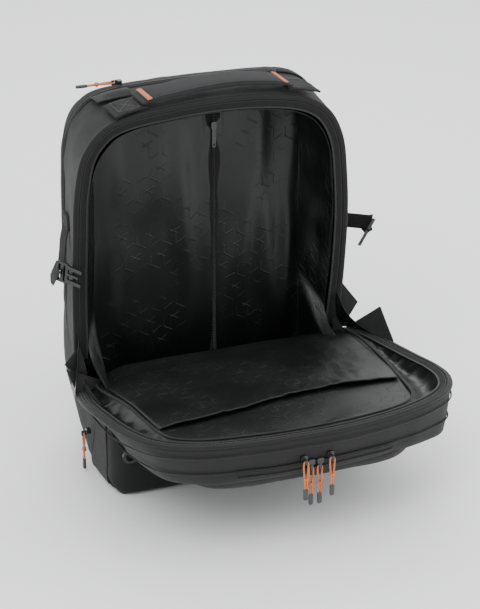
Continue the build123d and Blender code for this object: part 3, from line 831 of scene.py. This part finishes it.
blocks("linerZipCoil", coil, (4.4, 1.4, 1.3), blackPlastic, "pack")
for offset in (-12.5, 12.5):
    path = [(x + offset, y - 0.2, z) for x, y, z in tape]
    welt(f"linerZipWelt_{'left' if offset < 0 else 'right'}", path, (0, -1, 0), 1.6, linerCloth,
         "pack")
print("liner")

# ---- lid: the bag's front, let down
lid = {"depth": 54.0, "crush": 6.0}
lidShape = [
    (-184, 8), (-192, 45), (-201, 85), (-208, 125), (-211, 170), (-208, 223), (-200, 265), (-184, 303),
    (-146, 335), (-88, 350), (-28, 356), (34, 356), (104, 342), (158, 320), (196, 290), (215, 250),
    (219, 208), (215, 165), (211, 120), (208, 80), (204, 46), (196, 14),
]
floorShape = [
    (-160, 14), (-164, 50), (-166, 90), (-167, 125), (-167, 170), (-166, 223), (-163, 262), (-152, 296),
    (-122, 320), (-78, 328), (-28, 332), (34, 331), (98, 322), (152, 308), (184, 290), (194, 252),
    (192, 208), (183, 165), (175, 120), (170, 80), (167, 46), (160, 14),
]
lidCurve, floorCurve = through(lidShape, 7), through(floorShape, 7)


def lidDepth(along):
    return lid["depth"] * (0.15 + 0.14 * step(14, 130, along) + 0.71 * step(128, 222, along))


def lidRing(share, depth, droop=0.0):
    # the lid's outline between its edge and its floor, at a share of its depth
    ring = []
    for edgePoint, floorPoint in zip(lidCurve, floorCurve):
        x, along = edgePoint * (1 - share) + floorPoint * share
        d = depth * lidDepth(along)
        ease = 1.8 * wobble((x, along, d), 40, 6) * math.sin(math.pi * min(1, share)) if share < 1 else 0
        ring.append(lidPoint(x + ease * np.sign(x) * min(1, abs(x) / 60), along + ease * (along > 300),
                             d + droop))
    return ring


def closeRing(ring, count=24):
    near = np.linspace(ring[-1], ring[0], count)[1:-1]
    return np.vstack([ring, near])


levels = ((0, 0.02), (0.06, 0.12), (0.15, 0.24), (0.26, 0.38), (0.38, 0.52), (0.48, 0.66), (0.58, 0.8),
          (0.68, 0.9),
          (0.77, 0.965), (0.9, 0.995), (1.0, 1.0))
rows = [closeRing(lidRing(share, depth)) for share, depth in levels]
last = rows[-1]
for share in (0.93, 0.84, 0.72, 0.6, 0.46, 0.3, 0.15, 0.001):
    ring = []
    for p, along in zip(last, [c[1] for c in closeRing([(x, v, 0) for x, v in floorCurve])]):
        v = 178 + (along - 178) * share
        ring.append(lidPoint(p[0] * share, v, lidDepth(v) + 2.0 * (1 - share ** 4)))
    rows.append(ring)
lidSkin = skin("lidSkin", rows, lidCloth, "lid", closed=True, thick=1.4, side=1,
               replaced=("lid_shell",))


def lidEdge(inset, depth):
    ahead = unit(np.gradient(lidCurve, axis=0))
    inwards = np.stack([ahead[:, 1], -ahead[:, 0]], 1)
    return [lidPoint(x, v, depth) for x, v in lidCurve + inwards * inset]


lidNormal = np.array((0, sinLean, cosLean))
sweep("lidBinding", evenly(lidEdge(0.5, 0.5), 170), roundProfile(5.6, 4.6, 10, 1.4), lidNormal,
      bindingCloth,
      "lid", ("lid_binding",))
rows = [evenly(lidEdge(inset, depth), 170) for inset,
        depth in ((2.5, -1.0), (5.5, -1.4), (9, -1.0), (12.5, 0.2), (15, 1.4))]
skin("lidTape", rows, zipTape, "lid", thick=0.7, replaced=("lid_zip",))
coilPath = evenly(lidEdge(14.6, -0.2), 430)
coilAhead = unit(np.gradient(coilPath, axis=0))
blocks("lidCoil", [(p, np.cross(a, lidNormal), lidNormal) for p, a in zip(coilPath, coilAhead)],
       (3.0, 1.5, 1.7),
       blackPlastic, "lid")
stitchPath = evenly(lidEdge(6.5, -1.6), 250)
blocks("lidStitch", [(p, a, lidNormal) for p, a in zip(stitchPath, unit(np.gradient(stitchPath, axis=0)))],
       (2.8, 0.7, 0.6), blackThread, "lid")
sweep("lidPiping", evenly(lidEdge(3.0, -1.7), 170), roundProfile(2.2, 1.8, 8), lidNormal, trimCloth,
      "lid")


def wallSeam(name, share, depth, size, material, lowest=60):
    ring = [p for p, c in zip(lidRing(share, depth), lidCurve) if c[1] > lowest]
    outwards = unit(np.array([(p[0], -0.4 * abs(p[1]), -60) for p in ring]))
    welt(name, np.array(ring) + outwards * 0.5, outwards[len(outwards) // 2], size, material,
         "lid")
    return ring


wallSeam("lidSeamHigh", 0.05, 0.26, 1.5, bindingCloth, 20)
wallSeam("lidSeamLow", 0.42, 0.68, 1.6, shellCloth, 150)

# front pocket: a padded flap on the lid's underside, with a rounded lower edge
rows = []
for w in np.linspace(0, 1, 22):
    row = []
    for a in np.linspace(-1, 1, 64):
        half = 150
        x = a * half
        corner = max(0, abs(x) - 96)
        near, far = 212 + 0.012 * corner ** 2, 330 - 0.0135 * corner ** 2 - 6 * (x / 150) ** 2
        v = near + w * (far - near)
        puff = (1 - abs(a) ** 5) * min(1, 5 * w) ** 0.6 * (1 - max(0, (w - 0.86) / 0.14) ** 2.2) ** 0.5
        row.append(lidPoint(x, v,
                            lidDepth(v) - 3.0 * (w > 0.97) + 1.2 + 11.5 * puff + 1.2 * wobble((x, v, 0), 34,
                                    8)))
    rows.append(row)
skin("frontPocket", rows, lidCloth, "lid", thick=1.2, side=-1, smoother=1,
     replaced=("front_pocket",))
for number, (share, depth, node) in enumerate(((0.52, 0.73, "front_zips"), (0.66, 0.86, None))):
    ring = np.array([p for p, c in zip(lidRing(share, depth), lidCurve) if c[1] > 330 and abs(c[0]) < 112])
    normal = unit(np.array((0, -0.9, -0.45)))
    sweep(f"frontZip_{number + 1}", evenly(ring + normal * 0.5, 60), roundProfile(5.2, 0.9, 8, 2), normal,
          zipTape,
          "lid", (node,) if node else ())
    blocks(f"frontCoil_{number + 1}",
           [(p + normal * 1.1, (0, -0.45, 0.9), normal) for p in evenly(ring, 90)],
           (2.2, 1.3, 0.9), blackPlastic, "lid")

# inside of the lid: a lined floor, the slack sides round it and an open pocket over it
insideShape = [
    (-160, 16), (-166, 50), (-167, 90), (-167, 125), (-167, 170), (-167, 222), (-166, 262), (-158, 292),
    (-128, 314),
    (-80, 325), (-28, 331), (34, 330), (90, 322), (126, 310), (148, 288), (157, 254), (165, 208),
    (173, 160), (178, 120),
    (183, 80), (184, 46), (180, 16),
]
insideCurve = through(insideShape, 7)
rows = []
for share in np.linspace(0, 1, 12):
    ring = []
    for k, (edgePoint, inner) in enumerate(zip(lidCurve, insideCurve)):
        start = np.array((edgePoint[0] * (1 - 14 / 215), min(edgePoint[1], 344)))
        x, v = start * (1 - share) + inner * share
        crush = lid["crush"] * math.sin(math.pi * share)
        fold = wobble((k * 5.2, share * 12, 0), 13, 5) + 0.5 * wobble((k * 9.0, share * 24, 3), 12, 7)
        wide = np.linalg.norm(start - inner)
        sink = min(14, 0.32 * wide) * math.sin(math.pi * share)
        ring.append(lidPoint(x + fold * 1.5, v, 0.4 + sink + 1.1 * crush * fold * min(1, wide / 30)))
    rows.append(ring)
skin("lidLining", rows, linerCloth, "lid", thick=0.6, smoother=1)
rows = []
for v in np.linspace(16, 331, 60):
    left = np.interp(v, insideCurve[:76, 1], insideCurve[:76, 0])
    right = np.interp(v, insideCurve[::-1][:74, 1], insideCurve[::-1][:74, 0])
    rows.append([lidPoint(left + (right - left) * a, v, 1.6 + 1.6 * wobble((a * 320, v, 0), 60, 9)
                          - 1.4 * math.sin(math.pi * a) * math.sin(math.pi * (v - 16) / 315))
                 for a in np.linspace(0, 1, 60)])
lidFloor = skin("lidFloor", rows, pocketCloth, "lid", thick=1.6, side=0,
                replaced=("lid_panel",))
welt("lidFloorPiping", [lidPoint(x, v, 0.2) for x, v in insideCurve], lidNormal, 2.2, bindingCloth,
     "lid")
rows = []
for w in np.linspace(0, 1, 56):
    row = []
    for a in np.linspace(0, 1, 90):
        near = np.interp(a, (0, 0.5, 1), (60, 52, 40))
        far = np.interp(a, (0, 0.2, 0.38, 0.6, 0.8, 1), (262, 255, 245, 231, 226, 232))
        v = near + (far - near) * w
        left, right = -161 - 2 * w, 177 - 20 * w ** 1.4
        x = left + (right - left) * a
        edgeCalm = math.sin(math.pi * a) ** 0.4 * step(0, 0.12, w)
        lift = 1.2 + edgeCalm * (2.2 + 2.6 * step(0.5, 1, w)) + edgeCalm * 2.2 * wobble((x * 0.5, v, 0), 28,
                11)
        lift += 1.6 * edgeCalm * wobble((x, v * 0.45, 5), 12, 12)
        row.append(lidPoint(x, v, -lift))
    rows.append(row)
lidPocket = skin("lidPocket", rows, pocketCloth, "lid", thick=0.7, side=1,
                 replaced=("lid_pocket",))
welt("lidPocketHem", np.array(rows[-1]) + lidNormal * 0.5, lidNormal, 1.8, bindingCloth, "lid")
print("lid")

# ---- folded wings and the fabric that joins the lid to the base
def flap(name, corners, rider, material, puff=2.0, seed=0.0):
    # a folded triangle of cloth, a little swollen; the corners are root low, root high and tip
    low, high, tip = (np.array(c, float) for c in corners)
    out = unit(np.cross(high - low, tip - low))
    rows = []
    for w in np.linspace(0, 1, 14):
        row = []
        for t in np.linspace(0, 1, 14):
            p = (low + (high - low) * t) * (1 - w) + tip * w
            swell = math.sin(math.pi * t) * (1 - w) ** 0.5
            p = p + out * (puff * swell + 1.6 * wobble(p, 14, seed) * swell)
            row.append(p)
        rows.append(row)
    piece = skin(name, rows, material, rider, thick=1.8, side=0, smoother=1)
    return piece


wings = (
    ("wingBodyLeft", ((-168, -20, 96), (-176, -10, 150), (-201, -26, 135)), "pack", shellCloth),
    ("wingBodyRight", ((180, -4, 104), (179, -9, 182), (207, -3, 145)), "pack", shellCloth),
    ("wingLidLeft", ((-150, -30, 106), (-193, -58, 102), (-200, -30, 130)), "lid", shellCloth),
    ("wingLidRight", ((188, -12, 117), (212, -104, 128), (214, -56, 158)), "lid", shellCloth),
)
cheek = {"base": 96.0, "top": 109.0, "near": frontY + 2, "far": -224.0}


def cheekLow(y):
    # the cheek's lower edge: level along the base, then rising so that it bends like the front skin
    return cheek["base"] + (cheek["top"] - cheek["base"]) * min(1,
            max(0, (cheek["near"] - y) / (cheek["near"] - cheek["far"])))


for number, (name, corners, rider, material) in enumerate(wings):
    wing = flap(name, corners, rider, material, 2.5, number)
    settle(wing)
    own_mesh(wing)
for x_side, side in ((-1, "Left"), (1, "Right")):
    # the valley between the two wings, folded inwards to the hinge's corner
    rows = []
    for b in np.linspace(0, 1, 14):
        bodyEdge = np.array(rimPoint(x_side * (175 - 1 * b), 1 + 54 * b, 1.0))
        lidEdgePoint = np.array(lidPoint(x_side * (190 + 14 * b), 15 + 62 * b, -0.6))
        fold = np.array((x_side * (178 + 4 * b), -4 - 14 * b, hingeZ - 1 + 14 * b))
        row = []
        for a in np.linspace(0, 1, 17):
            p = bodyEdge * (1 - a) ** 2 + 2 * fold * a * (1 - a) + lidEdgePoint * a ** 2
            row.append(p + np.array((x_side, 0, 0)) * 2.4 * wobble(p, 11, 4) * math.sin(math.pi * a))
        rows.append(row)
    valley = skin(f"valley{side}", rows, linerCloth, None, thick=0.8, side=0, smoother=1)
    settle(valley)
    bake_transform(valley)
    if x_side < 0:
        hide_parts("side_gussets")
    # the cheek joins the base's side to the lid's side, and folds away under the lid
    rows = []
    for w in np.linspace(0, 1, 12):
        row = []
        for y in np.linspace(-5, cheek["far"], 60):
            low = cheekLow(y)
            footX = 177.4 - 10 * step(-(frontY + 28), -cheek["far"], -y)
            p = np.array((footX, y, low)) * (1 - w) + np.array((180.0, y, cheek["top"] + 2)) * w
            p[0] += 1.5 * math.sin(math.pi * w) * (1 + wobble(p, 22, 2))
            row.append(p * (x_side, 1, 1))
        rows.append(row)
    sheet = skin(f"cheek{side}", rows, shellCloth, None, thick=0.8, side=0)
    settle(sheet)
    cheek["base"] * scale
    cheek["top"] * scale
    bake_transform(sheet)
    welt(f"cheekSeam{side}", [(x_side * 177.8, y, cheek["base"] + 0.5) for y in np.linspace(-5, frontY + 27,
            40)], (x_side, 0, 0), 1.8,
         shellCloth, "pack")

# the front skin: from the top of the base's front to the lid's underside
rows = []
for w in np.linspace(0, 1, 26):
    row = []
    for a in np.sin(np.linspace(-math.pi / 2, math.pi / 2, 81)):
        corner = step(0.82, 1, abs(a))
        foot = np.array((a * 176, frontY - 3 + 28 * corner ** 1.5, 97.5))
        head = np.array((a * 168, cheek["far"], lidPoint(0, 226, lidDepth(226) - 1)[2]))
        p = foot + (head - foot) * w
        p[2] -= 7 * math.sin(math.pi * w) * (1 - corner)
        p[2] = p[2] * (1 - corner) + cheekLow(p[1]) * corner
        p[2] += 1.6 * wobble(p, 30, 5) * math.sin(math.pi * w) * (1 - corner)
        row.append(p)
    rows.append(row)
frontSkin = skin("frontSkin", rows, shellCloth, None, thick=1.0, side=0)
settle(frontSkin)
cheek["near"] * scale
cheek["far"] * scale
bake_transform(frontSkin)
welt("frontSkinSeam", [(a * 176, frontY - 1.6 + 27 * step(0.82, 1, abs(a)) ** 1.5,
                        98) for a in np.linspace(-1, 1, 50)],
     (0, -1, 0), 1.8, shellCloth, "pack")
print("wings")

# ---- handle: a padded webbing grip between two sewn anchors
grip = {"half": 98, "width": 44.0, "y": -19.0}
gripTop = boxOf("handle_grip")[1][2]
path = through([(-grip["half"], grip["y"], gripTop - 21.0), (-84, grip["y"], gripTop - 17.5),
                (-60, grip["y"] - 1, gripTop - 14.5),
                (-20, grip["y"], gripTop - 11.0), (25, grip["y"] + 1, gripTop - 10.5),
                (62, grip["y"], gripTop - 13.8),
                (84, grip["y"], gripTop - 17.2), (grip["half"], grip["y"], gripTop - 21.0)], 8)
profiles = []
for x, y, z in path:
    full = 1 - step(72, 92, abs(x))
    high = 4.2 + 5.6 * full + 0.5 * wobble((x, 0, 0), 14)
    profiles.append(roundProfile(grip["width"] + 1.6 * full + 0.8 * wobble((x, 9, 0), 20), high, 24, 1.45))
gripPiece = sweep("gripPad", path, np.array(profiles), (0, 0, 1), gripWeb, "handle",
                  ("handle_grip",))
sub = gripPiece.modifiers.new("smoother", "SUBSURF")
sub.levels = sub.render_levels = 1
places = []
for x_side in (-1, 1):
    for row in np.linspace(-20, 20, 24):
        x = x_side * 88
        z = np.interp(x, path[:, 0], path[:, 2]) + 3.0
        slope = np.interp(x + 1, path[:, 0], path[:, 2]) - np.interp(x, path[:, 0], path[:, 2])
        places.append(((x + 0.5 * math.cos(row * 9), grip["y"] + row, z + 0.1), (1, 0, slope),
                       (-slope, 0, 1)))
blocks("gripBartacks", places, (6.2, 1.9, 1.4), orangeThread, "handle")
for y_side, side in ((-1, "front"), (1, "rear")):
    edgePath = [(x, y + y_side * (grip["width"] / 2 - 2.6), z + 3.6 - 1.5 * step(70, 92, abs(x)))
                for x, y, z in evenly(path, 70)[6:-6]]
    blocks(f"gripStitch_{side}",
           [(p, a, (0, 0, 1)) for p, a in zip(edgePath, np.gradient(np.array(edgePath), axis=0))],
           (2.2, 0.6, 0.5), blackThread, "handle")


def crossBox(name, centre, right, up, wide, high, out):
    # a box of stitches with a cross in it
    centre, right, up = (np.array(v, float) for v in (centre, right, up))
    a, b = wide / 2, high / 2
    corners = [(-a, -b), (a, -b), (a, b), (-a, b), (-a, -b), (a, b)]
    lines = list(zip(corners, corners[1:])) + [((-a, b), (a, -b))]
    places = []
    for start, end in lines:
        start, end = centre + right * start[0] + up * start[1], centre + right * end[0] + up * end[1]
        count = max(3, int(np.linalg.norm(end - start) / 2.8))
        places += [(start + (end - start) * (k + 0.5) / count, end - start, out) for k in range(count)]
    return blocks(name, places, (2.1, 0.75, 0.7), blackThread, "pack")


for x_side, side in ((-1, "left"), (1, "right")):
    rows = []
    for w in np.linspace(0, 1, 14):
        row = []
        for a in np.linspace(-1, 1, 20):
            x = x_side * (91 + 42 * w)
            z = rimTop + 2.4 - 7.5 * w ** 2.2 + 0.5 * wobble((x, a * 20, 0), 12)
            row.append((x, grip["y"] + a * (20.5 + 2.5 * step(0.1, 0.5, w)), z - 0.7 * abs(a) ** 6))
        rows.append(row)
    anchor = skin(f"gripAnchor_{side}", rows, blackWeb, "pack", thick=2.0,
                  side=1 if x_side > 0 else -1,
                  replaced=("sewn_patches",) if x_side < 0 else ())
    crossBox(f"anchorStitch_{side}", (x_side * 113, grip["y"], rimTop + 2.8 - 2.2), (1, 0, -0.14 * x_side),
             (0, 1, 0), 27, 34, (0.1 * x_side, 0, 1))
# loose flap behind the left anchor, and the gathered lump behind the grip
rows = []
for w in np.linspace(0, 1, 16):
    row = []
    for a in np.linspace(0, 1, 20):
        drop = 7 * (1 - a) ** 2 * (0.6 + 0.4 * w)
        hump = 4.5 * math.sin(math.pi * w) * (0.4 + 0.6 * a) + 1.2 * wobble((a * 40, w * 30, 0), 14, 3)
        row.append((-136 + 46 * a, 16 + 30 * w, rimTop - 1.0 - drop + hump))
    rows.append(row)
skin("topFlap", rows, shellCloth, "pack", thick=1.6, side=0, smoother=1)
lump = softBrick("topLump", (74, 18, rimTop - 4), (103, 43, rimTop + 9), shellCloth, "pack",
                 crown=0.75, cuts=8)
print("handle")

# ---- side straps and D-ring
webs = {"width": 20.0, "thick": 1.5}


def ribbon(name, path, across, rider, wide=None, replaced=(), material=None, count=30):
    path = evenly(through(path, 8), count)
    ahead = unit(np.gradient(path, axis=0))
    normal = unit(np.cross(ahead, np.broadcast_to(np.array(across, float), path.shape)))
    return sweep(name, path, roundProfile(wide or webs["width"], webs["thick"], 12, 2.2), normal,
                 material or blackWeb,
                 rider, replaced)


leftRoot, leftEnd = np.array((-178.6, 20.0, 305.0)), np.array((-195.0, -3.0, 251.5))
ribbon("leftWeb", [leftRoot + (2.5, 0, 4), leftRoot * 0.66 + leftEnd * 0.34 + (-0.6, 0, 0),
                   leftRoot * 0.33 + leftEnd * 0.67, leftEnd],
       (0, 1, 0.1), "strap_left", replaced=("side_web_left",))
ribbon("leftWebTail", [leftEnd + (-2.4, 0, 5), leftEnd + (-4.5, 7, -6), leftEnd + (-4, 17, -15),
                       leftEnd + (-2, 27, -21)],
       (0.1, 0.5, 0.6), "strap_left")
tipAt = leftEnd + (-2, 27, -21)
softBrick("leftWebTip", tipAt + (-2.0, -3, -8.5), tipAt + (2.0, 4.5, 7.5),
          webFinish("tipWeb", (0.016, 0.016, 0.017, 1)),
          "strap_left", crown=0.6)
rightRoot, rightEnd = np.array((172.6, 38.0, 252.0)), np.array((230.0, 10.5, 247.0))
ribbon("rightWeb", [rightRoot + (-3, 1, 0), rightRoot * 0.6 + rightEnd * 0.4 + (0, -1.5, 0.6), rightEnd],
       (0, 0, 1), "strap_right",
       replaced=("side_web_right",))
ribbon("rightWebTail", [rightEnd + (-2, 2.4, 0), rightEnd + (3, 7, -2), rightEnd + (0, 12, -7),
                        rightEnd + (-7, 15, -13)],
       (0.2, 0, 1), "strap_right")
for name, root, x_side in (("left", leftRoot, -1), ("right", rightRoot, 1)):
    softBrick(f"strapPatch_{name}", root + (-2.2 if x_side < 0 else -5.5, -13, -11),
              root + (4.6 if x_side < 0 else -0.9, 13, 11), shellCloth,
              "pack", crown=0.35)
crossBox("leftPatchStitch", leftRoot + (-2.3, 0, 0), (0, 1, 0), (0, 0, 1), 19, 14, (-1, 0, 0))
ring = next(j for j in frame["joints"] if j["name"] == "ring_swing")
ringAt = np.array(ring["pos_m"]) / scale
ribbon("ringTab", [ringAt + (0, 3.2, 16), ringAt + (0, 2.6, 8), ringAt + (0, 1.8, 1.5),
                   ringAt + (0, -0.6, -0.9), ringAt + (0, -2.6, 1.2),
                   ringAt + (0, -1.2, 8), ringAt + (0, 1.0, 15)], (1, 0, 0), "pack", wide=11,
                   material=webFinish("tabWeb", (0.075, 0.075, 0.08, 1)))
print("straps")

# ---- back: padded columns, shoulder straps and their webbing
backPads = {"bulge": 12.0}
for x_side, side in ((-1, "left"), (1, "right")):
    rows = []
    for w in np.linspace(0, 1, 44):
        row = []
        for a in np.linspace(-1, 1, 26):
            z = 112 + 296 * w
            corner = max(0, abs(w - 0.5) * 296 - 122)
            half = 55 - (28 - math.sqrt(max(0, 28 ** 2 - min(26, corner) ** 2)))
            channel = 2.6 * math.exp(-((z - 210) / 6) ** 2) + 2.6 * math.exp(-((z - 310) / 6) ** 2)
            puff = (1 - abs(a) ** 6) ** 0.5 * min(1, 14 * min(w, 1 - w)) ** 0.5
            row.append((x_side * 78 + a * half, rearY + 0.4 + (backPads["bulge"] - channel) * puff, z))
        rows.append(row)
    pad = skin(f"backPad_{side}", rows, airMesh, "pack", smoother=1,
               replaced=("back_pads",) if x_side < 0 else ())
    welt(f"backPadPiping_{side}", [row[0] for row in rows] + [row[-1] for row in rows][::-1] + [rows[0][0]],
         (0, 1, 0), 1.8,
         bindingCloth, "pack")
    strapLow, strapHigh = boxOf(f"shoulder_strap_{side}")
    strapX = (strapLow[0] + strapHigh[0]) / 2
    path = through([(strapX, rearY + 1, 432), (strapX, rearY + 10, 433), (strapX, strapHigh[1] - 26, 430),
                    (strapX, strapHigh[1] - 14, 390),
                    (strapX, strapHigh[1] - 7, 340), (strapX, strapHigh[1] - 5.5, 290),
                    (strapX, strapHigh[1] - 8, 230),
                    (strapX, strapHigh[1] - 14, 180), (strapX, strapHigh[1] - 18, 152)], 7)
    profiles = []
    for x, y, z in path:
        taper = 1 - 0.35 * step(230, 152, z)
        profiles.append(roundProfile(62 * taper, 11.5 - 3.5 * step(190, 150, z) - 4 * step(424, 434, z), 26,
                                     1.9))
    strap = sweep(f"shoulderStrap_{side}", path, np.array(profiles), (0, 1, 0.001), airMesh,
                  "pack",
                  (f"shoulder_strap_{side}",))
    facing = [(strapX, y + 5.0 - 1.6 * step(190, 150, z) - 1.8 * step(424, 434, z), z) for x, y,
              z in path[8:]]
    ribbon(f"strapFacing_{side}", facing, (1, 0, 0), "pack", wide=30, material=blackWeb, count=60)
    for offset in (-27, 27):
        line = [(strapX + offset * (1 - 0.35 * step(230, 152, p[2])), p[1] + 0.6, p[2]) for p in path[6:-3]]
        welt(f"strapPiping_{side}_{'in' if offset * x_side < 0 else 'out'}", line, (0, 1, 0), 2.4,
             bindingCloth, "pack")
    lockLow, lockHigh = boxOf("ladder_locks")
    lockY = (lockLow[1] + lockHigh[1]) / 2
    ribbon(f"lowerWeb_{side}", [(strapX, lockY - 1, lockHigh[2] - 4),
                                (strapX, lockY + 2.4, lockHigh[2] - 12), (strapX, lockY, lockLow[2] + 2),
                                (strapX, rearY + 12, 92), (strapX, rearY + 1.5, 70),
                                (strapX, rearY - 8, 66)], (1, 0, 0), "pack", wide=25,
           replaced=("lower_webs",) if x_side < 0 else ())
    ribbon(f"lowerWebTail_{side}",
           [(strapX, lockY + 3.4, lockHigh[2] - 3), (strapX, lockY + 6, lockLow[2] - 4),
            (strapX + 2, lockY + 2, 90),
                                    (strapX + 5, lockY - 3, 66)], (1, 0, 0), "pack", wide=24)
lumbar = softBrick("lumbarPad", (-44, rearY - 9, 84), (44, rearY + 11, 118), airMesh, "pack",
                   crown=0.3, cuts=9)
rows = []
for z in np.linspace(104, 432, 50):
    rows.append([(a * (148 - 20 * step(0, 1, abs(z - 268) / 164) ** 3),
                  rearY + 0.5 + 0.8 * (1 - abs(a) ** 8), z) for a in np.linspace(-1, 1, 40)])
skin("backPanel", rows, meshFinish("backMesh", 0.006, 0.022), "pack", thick=1.0, side=1)
rearPath = through([(-170, 52, 90), (-171, 52, 220), (-170.5, 52, 350), (-165, 52, 405), (-140, 52, 443),
                    (-95, 52, 455.5), (0, 52, 458),
                    (100, 52, 455.5), (146, 52, 441), (168, 52, 405), (174, 52, 350), (174, 52, 220),
                    (171, 52, 90)], 14)
shoulders = unit(np.stack([rearPath[:, 0] * (1 - step(300, 455, rearPath[:, 2]) * 0.9), 0 * rearPath[:, 0],
                           40 + 400 * step(380, 456, rearPath[:, 2]) - 38], 1))
sweep("rearZipTape", rearPath + shoulders * 0.2, roundProfile(15, 1.4, 10, 2), shoulders, zipTape,
      "pack", ("rear_zip",))
rearCoil = evenly(rearPath, 430)
coilUp = evenly(np.hstack([rearPath, shoulders]), 430)[:, 3:]
blocks("rearCoil", [(p + n * 1.0, (0, 1, 0), n) for p, n in zip(rearCoil, coilUp)], (3.2, 1.5, 1.4),
       blackPlastic, "pack")
ribbon("grabLoop", [(-30, rearY + 1, 418), (-24, rearY + 8, 422), (0, rearY + 12, 424),
                    (24, rearY + 8, 422), (30, rearY + 1, 418)], (0, 0.5, 1), "pack", wide=18)
softBrick("sleevePad", (-140, 53, 96), (140, 60, 415), softFoam, "pack", crown=0.02,
          replaced=("laptop_sleeve",))
softBrick("frameSheet", (-135, 69.6, 104), (135, 71, 427), softFoam, "pack", crown=0.02,
          replaced=("frame_sheet",))
softBrick("baseBoard", (-142, frontY + 8, 4.5), (142, -30, 6.5), softFoam, "pack", crown=0.02,
          replaced=("base_board",))
print("back")

# ---- finishes of the pieces that keep their solid form
kept = {
    blackPlastic: ("buckle_plug_left", "buckle_plug_right", "buckle_socket_left", "buckle_socket_right",
                   "ladder_locks",
                   "sternum_socket", "sternum_plug"),
    blackMetal: ("d_ring", "liner_slider", "main_slider_left", "main_slider_right", "side_slider",
                 "top_slider",
                 "front_1_slider", "front_2_slider", "front_3_slider", "front_4_slider"),
    blackWeb: ("sternum_web",),
}
for material, names in kept.items():
    for name in names:
        node = nodes[name]
        if not node.material_slots:
            node.data.materials.append(material)
        for held in node.material_slots:
            held.material = material
        if material in (blackPlastic, blackMetal):
            bevel = node.modifiers.new("rounded", "BEVEL")
            bevel.width, bevel.segments, bevel.limit_method = 0.5 * scale, 3, "ANGLE"

for piece in [o for o in bpy.context.scene.objects if o.name.startswith(("lidSkin", "lidBinding", "lidTape",
        "lidCoil", "lidStitch", "lidPiping",
              "lidSeam", "frontPocket", "frontZip", "frontCoil", "lidLining", "lidFloor", "lidPocket"))]:
    settle(piece)
    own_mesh(piece)

# the cloth under the base lies flat on the ground
for piece in (bpy.data.objects["bodyShell"], bpy.data.objects["baseFront"]):
    settle(piece)
    for vertex in piece.data.vertices:
        vertex.co.z = max(vertex.co.z, 0.0)
